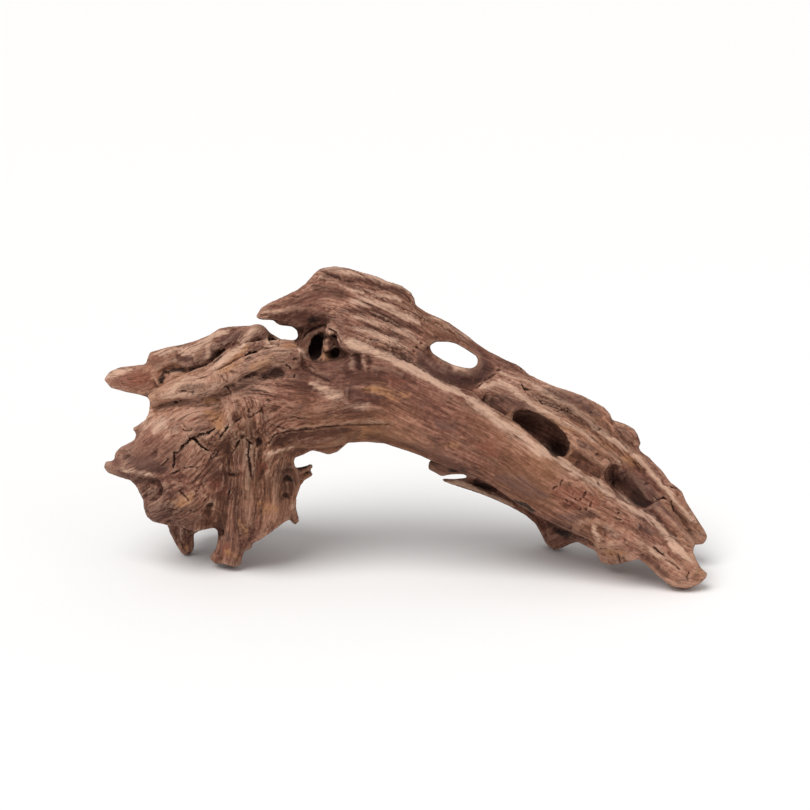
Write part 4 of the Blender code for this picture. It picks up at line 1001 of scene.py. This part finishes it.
def grain_places(points):
    """For every layer: each point's place along, across and through its grain line, and its weight."""
    raw = [[] for _ in range(LAYERS)]
    for layer, reach, path in GRAIN_LINES.values():
        line = even_line([place(*corner) for corner in path])
        raw[layer].append(along_line(points, line, reach, seed=len(raw[layer]) * LAYERS + layer))
    places, weights = [], []
    rows = np.arange(len(points))
    for fields in raw:
        strength = np.stack([field[1] for field in fields])
        order = np.argsort(strength, axis=0)
        best, second = order[-1], order[-2]
        places.append(np.stack([field[0] for field in fields])[best, rows])
        weights.append(strength[best, rows] - strength[second, rows])
    weights = np.stack(weights, axis=1)
    return places, weights / np.maximum(np.linalg.norm(weights, axis=1), 1e-9)[:, None]


def soft_field(flat, spots):
    """One value blended from soft spots given as across, rise, radius and value."""
    total, weight = np.zeros(len(flat)), np.full(len(flat), 1e-6)
    for across, rise, radius, value in spots:
        near = np.exp(-((flat - (across, rise)) ** 2).sum(1) / radius**2)
        total += near * value
        weight += near
    return total / weight


# The raised grain: how long and how wide its waves are, in millimetres, and a shift that keeps each pattern
# from following the others.
SHEET_WAVES = (42, 7.5, 41)
FOLD_WAVES = (34, 9.0, 3)
RIB_WAVES = (28, 3.6, 11)
RIB_DEPTH_WAVES = (34, 9.0, 21)
FIBRE_WAVES = (15, 1.9, 17)
# How high each pattern stands, in millimetres, and the mean that sets it about zero.
SHEET_HEIGHT, SHEET_MEAN = 1.3, 0.4
FOLD_HEIGHT = 0.8
RIB_HEIGHT, RIB_MEAN = 0.8, 0.5
FIBRE_HEIGHT, FIBRE_MEAN = 0.38, 0.4
# Sheets climb from this step by so many either way, each step curved by this power.
SHEET_START = 10
SHEET_STEPS = 2.4
SHEET_CURVE = 1.6
# The grooves between ribs and between fibres are this wide as shares of a wave, and ribs' are this deep.
RIB_GROOVE = 0.15
RIB_DEPTH = 0.7
FIBRE_GROOVE = 0.2
# The grain wanders: the length and width of its bends and how far it sways, in millimetres, how many times
# more it does so along the line, and the shifts of the two other ways.
GRAIN_WANDER = (26, 8.0, 1.6)
WANDER_ALONG = 2
WANDER_SHIFTS = (31, 67)
# Sheets tear where the wood is rougher than this, and so much more with it.
TORN_FROM = 0.45
TORN_MORE = 1.5


def grain_height(local):
    """Heights of the raised fibres and of torn sheets, at places in a grain line's own run."""
    bend_length, bend_width, sway = GRAIN_WANDER
    bends = local / (bend_length, bend_width, bend_width)
    sideways = [noise(bends + shift) for shift in WANDER_SHIFTS]
    local = local + sway * np.stack((noise(bends) * WANDER_ALONG, *sideways), axis=1)

    def waves(length, width, shift):
        return noise(local / (length, width, width) + shift)

    climb = waves(*SHEET_WAVES) * SHEET_STEPS + SHEET_START
    sheets = ((climb - np.floor(climb)) ** SHEET_CURVE - SHEET_MEAN) * SHEET_HEIGHT
    folds = waves(*FOLD_WAVES) * FOLD_HEIGHT
    rib_grooves = np.exp(-(waves(*RIB_WAVES) / RIB_GROOVE) ** 2) * (RIB_DEPTH + waves(*RIB_DEPTH_WAVES))
    ribs = (RIB_MEAN - rib_grooves) * RIB_HEIGHT
    fibres = (FIBRE_MEAN - np.exp(-(waves(*FIBRE_WAVES) / FIBRE_GROOVE) ** 2)) * FIBRE_HEIGHT
    return folds + ribs + fibres, sheets


def raise_grain(piece):
    points, normals = read_points(piece), read_normals(piece)
    places, weights = grain_places(points)
    rough = soft_field(seen(points), ROUGHNESS_SPOTS)
    torn = np.clip(rough - TORN_FROM, 0, 1) * TORN_MORE
    for k, local in enumerate(places):
        fibres, sheets = grain_height(local)
        points += normals * (weights[:, k] * (fibres * rough + sheets * torn))[:, None]
    write_points(piece, points)


def outline_pull(flat, outward, reach):
    """For each rim position, the way to the nearest span of outline that faces the same way."""
    best = np.full(len(flat), reach)
    pull = np.zeros_like(flat)
    for stretch in OUTLINE.values():
        corners = np.array(stretch, dtype=float)
        for corner, span in zip(corners, np.diff(corners, axis=0)):
            length = np.linalg.norm(span)
            share = np.clip((flat - corner) @ span / length**2, 0, 1)
            way = corner + share[:, None] * span - flat
            away = np.linalg.norm(way, axis=1)
            # open air is on the right hand of each span
            agrees = outward @ (np.array((span[1], -span[0])) / length) > RIM_AGREEMENT
            closer = (away < best) & agrees
            best[closer] = away[closer]
            pull[closer] = way[closer]
    return pull, best < reach


def draw_in_rim(piece):
    """Moves the rim that the view shows on to the drawn outline, and the skin near it along with it."""
    edges = read_edges(piece)
    for reach, spread in RIM_PASSES:
        points, normals = read_points(piece), read_normals(piece)
        lines = points - EYE
        square = -(normals * lines).sum(1) / np.linalg.norm(lines, axis=1)
        rim = np.flatnonzero(np.abs(square) < RIM_SQUARENESS)
        flat = seen(points[rim])
        outward = np.stack((normals[rim] @ ACROSS, normals[rim] @ UP), axis=1)
        outward /= np.maximum(np.linalg.norm(outward, axis=1), 1e-9)[:, None]
        pull, found = outline_pull(flat, outward, reach)
        tree = search_tree(piece, points)
        eye = Vector(EYE)
        probe = flat + outward * RIM_STEP
        sight = AHEAD * VIEW_DISTANCE + probe[:, :1] * ACROSS + (probe[:, 1:] - AXIS_RISE) * UP
        for index in np.flatnonzero(found):
            found[index] = tree.ray_cast(eye, Vector(sight[index]))[0] is None
        moved = np.zeros((len(points), 4))
        weight = LEAST_PULL + np.linalg.norm(pull[found], axis=1)[:, None]
        moved[rim[found], :3] = (pull[found, :1] * ACROSS + pull[found, 1:] * UP) * weight
        moved[rim[found], 3:] = weight
        moved = spread_out(moved, edges, spread)
        share = np.clip(moved[:, 3:] / RIM_HOLD, 0, 1)
        write_points(piece, points + moved[:, :3] / np.maximum(moved[:, 3:], 1e-6) * share)


# A foot is this wide and this high, in millimetres, where it is brought down to the floor. The solid stands
# on the floor where it is lower than the last of these.
FOOT_REACH = 14
FOOT_HEIGHT = 9
ON_FLOOR = 0.01


def stand_on_floor(piece):
    """Brings each foot down to the floor."""
    points = read_points(piece)
    solid = read_points(SOLID)
    feet = solid[solid[:, 2] < ON_FLOOR]
    while len(feet):
        near = np.linalg.norm(feet[:, :2] - feet[0, :2], axis=1) < FOOT_REACH
        middle = feet[near, :2].mean(0)
        feet = feet[~near]
        foot = (np.linalg.norm(points[:, :2] - middle, axis=1) < FOOT_REACH) & (points[:, 2] < FOOT_HEIGHT)
        lift = points[foot, 2].min()
        points[foot, 2] -= lift * (1 - (points[foot, 2] - lift) / (FOOT_HEIGHT - lift))
    write_points(piece, points)


def keep_in_box(piece):
    low, high = (np.array(corner) / MM for corner in CAD_BOX)
    write_points(piece, np.clip(read_points(piece), low, high))


def thin_out(piece, triangles):
    """Thins the skin out, and more so on the side that the view doesn't show."""
    far_side = np.flatnonzero(read_normals(piece) @ AHEAD > FAR_SIDE_FROM)
    group = piece.vertex_groups.new(name="far_side")
    group.add(far_side.tolist(), 1.0, "REPLACE")
    near_side = np.setdiff1d(np.arange(len(piece.data.vertices)), far_side)
    group.add(near_side.tolist(), NEAR_SIDE_WEIGHT, "REPLACE")
    thin = piece.modifiers.new("thin", "DECIMATE")
    thin.vertex_group = group.name
    thin.vertex_group_factor = THINNING_PREFERENCE
    thin.ratio = min(1.0, triangles / (2 * len(piece.data.polygons)))
    apply_modifiers(piece)
    piece.vertex_groups.clear()


# Rays that test how sheltered a spot is, and how far they look, in millimetres. They start this far off the
# skin, and those that leave it at less than this slant are left out.
SHELTER_RAYS = 20
SHELTER_REACH = 45
SHELTER_LIFT = 0.6
SHELTER_SLANT = 0.2


def shelter(points, normals, tree):
    """How much of the open air round each point is taken by wood, from 0 to 1."""
    turns = np.arange(SHELTER_RAYS) * math.pi * (3 - math.sqrt(5))
    heights = 1 - 2 * (np.arange(SHELTER_RAYS) + 0.5) / SHELTER_RAYS
    rings = np.sqrt(1 - heights**2)
    rays = np.stack((np.cos(turns) * rings, np.sin(turns) * rings, heights), axis=1)
    blocked, looked = np.zeros(len(points)), np.zeros(len(points))
    starts = points + normals * SHELTER_LIFT
    for ray, facing in zip(rays, (normals @ rays.T).T):
        direction = Vector(ray)
        for index in np.flatnonzero(facing > SHELTER_SLANT):
            looked[index] += facing[index]
            if tree.ray_cast(Vector(starts[index]), direction, SHELTER_REACH)[0] is not None:
                blocked[index] += facing[index]
    return blocked / np.maximum(looked, 1e-6)


def store(piece, name, values):
    """Keeps one vector for each point of the piece, for its material to read."""
    held = piece.data.attributes.new(name, "FLOAT_VECTOR", "POINT")
    held.data.foreach_set("vector", np.ascontiguousarray(values, dtype=np.float32).ravel())


# At its very ends each stroke of stain, painted shade and painted highlight keeps the root of this share of
# its width. Two widths further in it is full.
PAINT_TIP = 0.08


def laid_stains_and_painted_light(points, shown):
    """How much of each stain, painted shade and painted highlight every point takes, from 0 to 1."""
    flat = wandering(points, PAINT_SWAYS)
    near = np.flatnonzero(shown > 0)
    taken = np.zeros((len(points), len(STAIN_AND_PAINTED_LIGHT_STROKES)))
    for column, strokes in enumerate(STAIN_AND_PAINTED_LIGHT_STROKES):
        for width, strength, path in strokes:
            close = near[near_path(flat[near], path, PAINT_REACH * width)]
            away, along = path_distance(flat[close], path)
            length = np.linalg.norm(np.diff(path, axis=0), axis=1).sum() if len(path) > 1 else 4 * width
            from_end = np.clip(np.minimum(along, 1 - along) * length / (2 * width), 0, 1)
            narrowed = width * np.sqrt(PAINT_TIP + (1 - PAINT_TIP) * from_end)
            laid = strength * np.exp(-(away / narrowed) ** 2) * shown[close]
            taken[close, column] = 1 - (1 - taken[close, column]) * (1 - laid)
    # cracks are painted black along their middles, as dirt and painted shade, the deeper the darker
    flat = wandering(points, STROKE_SWAYS)
    for width, depth, path in CRACKS:
        close = near[near_path(flat[near], path, PAINT_REACH * width)]
        away, along = path_distance(flat[close], path)
        narrowed = width * CRACK_DIRT_AND_SHADE_WIDTH * crack_widths(flat[close], along)
        laid = min(1, depth * CRACK_DIRT_AND_SHADE) * np.exp(-(away / narrowed) ** 2) * shown[close]
        taken[close, -1] = np.maximum(taken[close, -1], laid)
    return taken


# Relief is measured against the skin smoothed this many times: fine, middling and broad.
RELIEF_ROUNDS = (6, 34, 140)
# Stains start where a surface is this square to the view, and are full where it is so much squarer. That
# share and the shelter are smoothed so often.
SHOWN_FROM = -0.05
SHOWN_OVER = 0.3
SHOWN_ROUNDS = 2
SHELTER_ROUNDS = 4


def note_relief(piece):
    """Stores how far each point stands out from the skin smoothed round it."""
    points, normals, edges = read_points(piece), read_normals(piece), read_edges(piece)
    reliefs, smoothed, done = [], points, 0
    for rounds in RELIEF_ROUNDS:
        smoothed = spread_out(smoothed, edges, rounds - done)
        done = rounds
        reliefs.append(((points - smoothed) * normals).sum(1))
    store(piece, "relief", np.stack(reliefs, axis=1))


def note_surface(piece):
    """Stores what else the material follows: grain, stains with painted shade and highlights, shelter for
    painted shade, roughness, and lightness that is partly painted shade and light.
    """
    points, normals, edges = read_points(piece), read_normals(piece), read_edges(piece)
    tree = search_tree(piece, points)
    places, weights = grain_places(points)
    for k, local in enumerate(places):
        store(piece, f"grain_{k}", local)
    store(piece, "grain_weights", weights)
    shown = np.clip((squareness(points, normals, tree) - SHOWN_FROM) / SHOWN_OVER, 0, 1)
    shown = spread_out(shown[:, None], edges, SHOWN_ROUNDS)[:, 0]
    # stains, painted shade and painted highlights, one column each
    stains = laid_stains_and_painted_light(points, shown)
    store(piece, "stains_and_painted_light", stains[:, :3])
    store(piece, "stains_dirt_and_painted_shade", stains[:, 3:])
    closed = spread_out(shelter(points, normals, tree)[:, None], edges, SHELTER_ROUNDS)[:, 0]
    rough = soft_field(seen(points), ROUGHNESS_SPOTS)
    lighter = soft_field(seen(points), TONE_AND_PAINTED_LIGHT_SPOTS)
    store(piece, "state", np.stack((closed, rough, lighter), axis=1))


# What each stored vector holds, in the order of its three numbers.
NOTED = {
    "state": ("closed", "rough", "lighter"),
    "stains_and_painted_light": ("pale", "golden", "mauve"),
    "stains_dirt_and_painted_shade": ("umber", "russet", "black_shade_and_dirt"),
    "relief": ("fine", "middling", "broad"),
}
# The wood from its darkest streaks to its lightest, at these places on a scale from 0 to 1.
WOOD_TONES = ((0.0, "#4E2D24"), (0.28, "#6C4334"), (0.52, "#875A4A"), (0.76, "#A2745F"), (1.0, "#B98C77"))
# The stains, painted shade and painted highlights in the order in which they are laid: how much each covers,
# and its colour.
STAIN_AND_PAINTED_LIGHT_TONES = {
    "russet": (0.75, "#7C4433"),
    "golden": (0.75, "#B07C55"),
    "mauve": (0.8, "#5F4139"),
    "pale": (0.85, "#CDA68F"),
    "umber": (0.7, "#4A2A20"),
    "black_shade_and_dirt": (0.97, "#170C0A"),
}


def output(made):
    """A node's result: the first of its outputs that is in use."""
    return next(socket for socket in made.outputs if socket.enabled)


def node(tree, kind, links=None, **settings):
    """Adds a node. Settings name its properties, and links give its inputs as values, outputs or nodes."""
    made = tree.nodes.new(kind)
    for name, value in settings.items():
        setattr(made, name, value)
    for key, value in (links or {}).items():
        if isinstance(value, bpy.types.Node):
            value = output(value)
        if isinstance(value, bpy.types.NodeSocket):
            tree.links.new(value, made.inputs[key])
        else:
            made.inputs[key].default_value = value
    return made


def blend(tree, *parts):
    """The sum of patterns, given in pairs of pattern and weight."""
    total = 0.0
    for pattern, weight in parts:
        links = {0: pattern, 1: weight, 2: total}
        total = node(tree, "ShaderNodeMath", links, operation="MULTIPLY_ADD")
    return total


def grain_pattern(tree, length, width, shift, detail=2.0):
    """Noise drawn out along the grain, blended over the layers: about 0 in the mean, from -1 to 1."""
    held = node(tree, "ShaderNodeAttribute", attribute_name="grain_weights")
    weights = node(tree, "ShaderNodeSeparateXYZ", {0: held.outputs["Vector"]}).outputs
    scale = (1 / length, 1 / width, 1 / width)
    layers = []
    for k in range(LAYERS):
        run = node(tree, "ShaderNodeAttribute", attribute_name=f"grain_{k}")
        links = {"Vector": run.outputs["Vector"], "Location": (shift,) * 3, "Scale": scale}
        drawn = node(tree, "ShaderNodeMapping", links)
        links = {"Vector": drawn, "Scale": 1.0, "Detail": detail, "Roughness": 0.55}
        wave = node(tree, "ShaderNodeTexNoise", links)
        layers.append((blend(tree, (wave, 2.0), (1.0, -1.0)), weights[k]))
    return blend(tree, *layers)


def mottle(tree, size, shift, detail=3.0):
    """Patches with no direction, this many millimetres across: from -1 to 1."""
    where = node(tree, "ShaderNodeTexCoord").outputs["Object"]
    links = {"Vector": where, "Location": (shift,) * 3, "Scale": (1 / (size * MM),) * 3}
    drawn = node(tree, "ShaderNodeMapping", links)
    wave = node(tree, "ShaderNodeTexNoise", {"Vector": drawn, "Scale": 1.0, "Detail": detail})
    return blend(tree, (wave, 2.0), (1.0, -1.0))


def weathered_wood():
    """Root wood washed and dried for years: bare, dull, with raised fibres, painted shade and some dirt in
    its hollows, and painted highlights on its crests.
    """
    wood = bpy.data.materials.new("weathered root wood")
    wood.use_nodes = True
    tree = wood.node_tree
    surface = tree.nodes["Principled BSDF"]
    noted = {}
    for name, parts in NOTED.items():
        held = node(tree, "ShaderNodeAttribute", attribute_name=name)
        split = node(tree, "ShaderNodeSeparateXYZ", {0: held.outputs["Vector"]})
        noted.update(zip(parts, split.outputs))
    rough, lighter = noted["rough"], noted["lighter"]
    fine, middling = noted["fine"], noted["middling"]

    # real fibres are under 0.1 mm wide; they are drawn as bundles of 0.7 to 5 mm, which is what shows
    streaks = grain_pattern(tree, 46, 5.0, 2.0)
    lines = grain_pattern(tree, 26, 1.7, 9.0)
    hairs = grain_pattern(tree, 11, 0.7, 5.0)
    flecks = grain_pattern(tree, 8, 1.1, 14.0, detail=0.0)
    checks = grain_pattern(tree, 34, 3.4, 23.0, detail=1.0)
    patches = mottle(tree, 30, 0.0)
    specks = mottle(tree, 2.4, 4.0)
    zones = mottle(tree, 75, 9.0, detail=1.0)

    # the grain shows more where the wood is rough
    contrast = blend(tree, (rough, 0.5), (1.0, 0.46))
    grain = blend(tree, (streaks, 0.8), (lines, 0.75), (hairs, 0.6))
    # the soft spots' change adds the wood's tone, with painted shade on undersides and painted light above
    light = blend(tree, (grain, contrast), (patches, 0.6), (specks, 0.4), (lighter, 1.0), (1.0, 0.5))
    colour = node(tree, "ShaderNodeValToRGB", {0: light})
    ramp = colour.color_ramp.elements
    for position, _ in WOOD_TONES[1:-1]:
        ramp.new(position)
    for element, (position, hex_colour) in zip(ramp, WOOD_TONES):
        element.position = position
        element.color = linear(hex_colour)

    # broad golden and grey zones, then the stains, painted shade and painted highlights, whose edges are
    # ragged along the grain
    laid = [(blend(tree, (zones, 0.7)), "#A87650"), (blend(tree, (zones, -1.0)), "#5E4038")]
    ragged = blend(tree, (specks, 0.5), (lines, 1.1), (streaks, 1.4))
    for name, (cover, hex_colour) in STAIN_AND_PAINTED_LIGHT_TONES.items():
        # these are the stains, the painted shade and the painted highlights, taken one at a time
        stain = noted[name]
        part = node(tree, "ShaderNodeMath", {0: stain, 1: 0.6}, operation="MINIMUM")
        edge = blend(tree, (ragged, part), (stain, 1.0))
        links = {0: edge, 1: 0.1, 2: 0.85, 3: 0.0, 4: cover}
        share = node(tree, "ShaderNodeMapRange", links, interpolation_type="SMOOTHSTEP")
        laid.append((share, hex_colour))

    # crests are painted paler, as painted highlight and wear, and furrows and hollows darker, as painted
    # shade
    laid.append((blend(tree, (fine, 0.63), (middling, 0.147)), "#C9A38A"))
    laid.append((blend(tree, (fine, -1.14), (middling, -0.3)), "#321D17"))
    laid.append((blend(tree, (noted["broad"], -0.14)), "#44291F"))

    # short dashes on rough wood, and drying cracks as fine as a hair that come and go
    dashes = blend(tree, (flecks, -2.0), (1.0, -0.6))
    laid.append((blend(tree, (dashes, rough)), "#3E251C"))
    off = node(tree, "ShaderNodeMath", {0: checks}, operation="ABSOLUTE")
    thin = blend(tree, (off, -26.0), (1.0, 1.0))
    thread = node(tree, "ShaderNodeMath", {0: thin, 1: 0.0}, operation="MAXIMUM")
    spells = blend(tree, (patches, 2.2), (1.0, 0.2))
    there = node(tree, "ShaderNodeMath", {0: spells, 1: 0.0}, operation="MAXIMUM")
    hairline = blend(tree, (thread, there))
    laid.append((blend(tree, (hairline, 0.8)), "#2C1812"))

    # painted shade, with some dirt, where the wood closes in: the more sheltered a point, the darker
    sheltered_shade = node(tree, "ShaderNodeMapRange", {0: noted["closed"], 1: 0.5, 2: 0.97, 3: 0.0, 4: 0.8})
    laid.append((sheltered_shade, "#1E100E"))
    for share, hex_colour in laid:
        links = {0: share, 6: colour, 7: linear(hex_colour)}
        colour = node(tree, "ShaderNodeMix", links, data_type="RGBA", clamp_factor=True)
    tree.links.new(output(colour), surface.inputs["Base Color"])

    dullness = node(tree, "ShaderNodeMapRange", {0: lines, 1: -1.0, 2: 1.0, 3: 0.74, 4: 0.92})
    tree.links.new(output(dullness), surface.inputs["Roughness"])
    surface.inputs["Specular IOR Level"].default_value = 0.22

    fibres = blend(tree, (lines, 0.55), (hairs, 0.5))
    height = blend(tree, (fibres, contrast), (specks, 0.35), (hairline, -0.5))
    bump = node(tree, "ShaderNodeBump", {"Height": height, "Strength": 1.0, "Distance": 1.3 * MM})
    tree.links.new(output(bump), surface.inputs["Normal"])
    return wood


def dress_driftwood():
    piece = rounded_copy(SOLID, "driftwood_skin")
    cut_openings(piece)
    add_parts(piece)
    skin_over(piece, SKIN_VOXEL, SKIN_ROUNDS)
    work_by_hand(piece)
    raise_grain(piece)
    draw_in_rim(piece)
    stand_on_floor(piece)
    note_relief(piece)
    thin_out(piece, KEPT_TRIANGLES)
    keep_in_box(piece)
    note_surface(piece)
    piece.data.materials.clear()
    piece.data.materials.append(weathered_wood())
    choose_only(piece)
    bpy.ops.object.shade_smooth()
    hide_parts("driftwood")
    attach(piece, "root")


def lay_floor():
    bpy.ops.object.select_all(action="DESELECT")
    bpy.ops.mesh.primitive_plane_add(size=12)
    floor = bpy.context.active_object
    floor.name = "floor"
    paper = bpy.data.materials.new("white paper")
    paper.use_nodes = True
    sheet = paper.node_tree.nodes["Principled BSDF"]
    sheet.inputs["Base Color"].default_value = linear("#F1F0EF")
    sheet.inputs["Roughness"].default_value = 0.9
    floor.data.materials.append(paper)


# The lamps face this place, in metres.
LIT_PLACE = Vector((0, 0, 0.1))


def add_lamp(name, kind, place_m, power, **shape):
    """A soft lamp that faces the wood."""
    lamp = bpy.data.lights.new(name, kind)
    lamp.energy = power
    for quality, value in shape.items():
        setattr(lamp, quality, value)
    holder = bpy.data.objects.new(name, lamp)
    holder.location = place_m
    holder.rotation_euler = (LIT_PLACE - Vector(place_m)).to_track_quat("-Z", "Y").to_euler()
    bpy.context.scene.collection.objects.link(holder)


def light_studio():
    world = bpy.data.worlds.new("studio")
    world.use_nodes = True
    air = world.node_tree.nodes["Background"]
    air.inputs["Color"].default_value = linear("#FFFFFF")
    air.inputs["Strength"].default_value = 0.5
    bpy.context.scene.world = world
    add_lamp("key", "SUN", (-0.4, -0.55, 1.1), 2.5, angle=math.radians(45))
    add_lamp("fill", "AREA", (1.3, -1.1, 0.9), 3, size=1.4)
    bpy.context.scene.view_settings.view_transform = "Standard"


def set_camera():
    """The view of the photograph: from the front, above level, with a long lens."""
    lens = bpy.data.cameras.new("camera")
    lens.lens = 100
    lens.sensor_width = 36
    lens.clip_start = 0.05
    holder = bpy.data.objects.new("camera", lens)
    holder.location = Vector(EYE * MM)
    holder.rotation_euler = Vector(AHEAD).to_track_quat("-Z", "Y").to_euler()
    bpy.context.scene.collection.objects.link(holder)
    bpy.context.scene.camera = holder


set_camera()
dress_driftwood()
lay_floor()
light_studio()
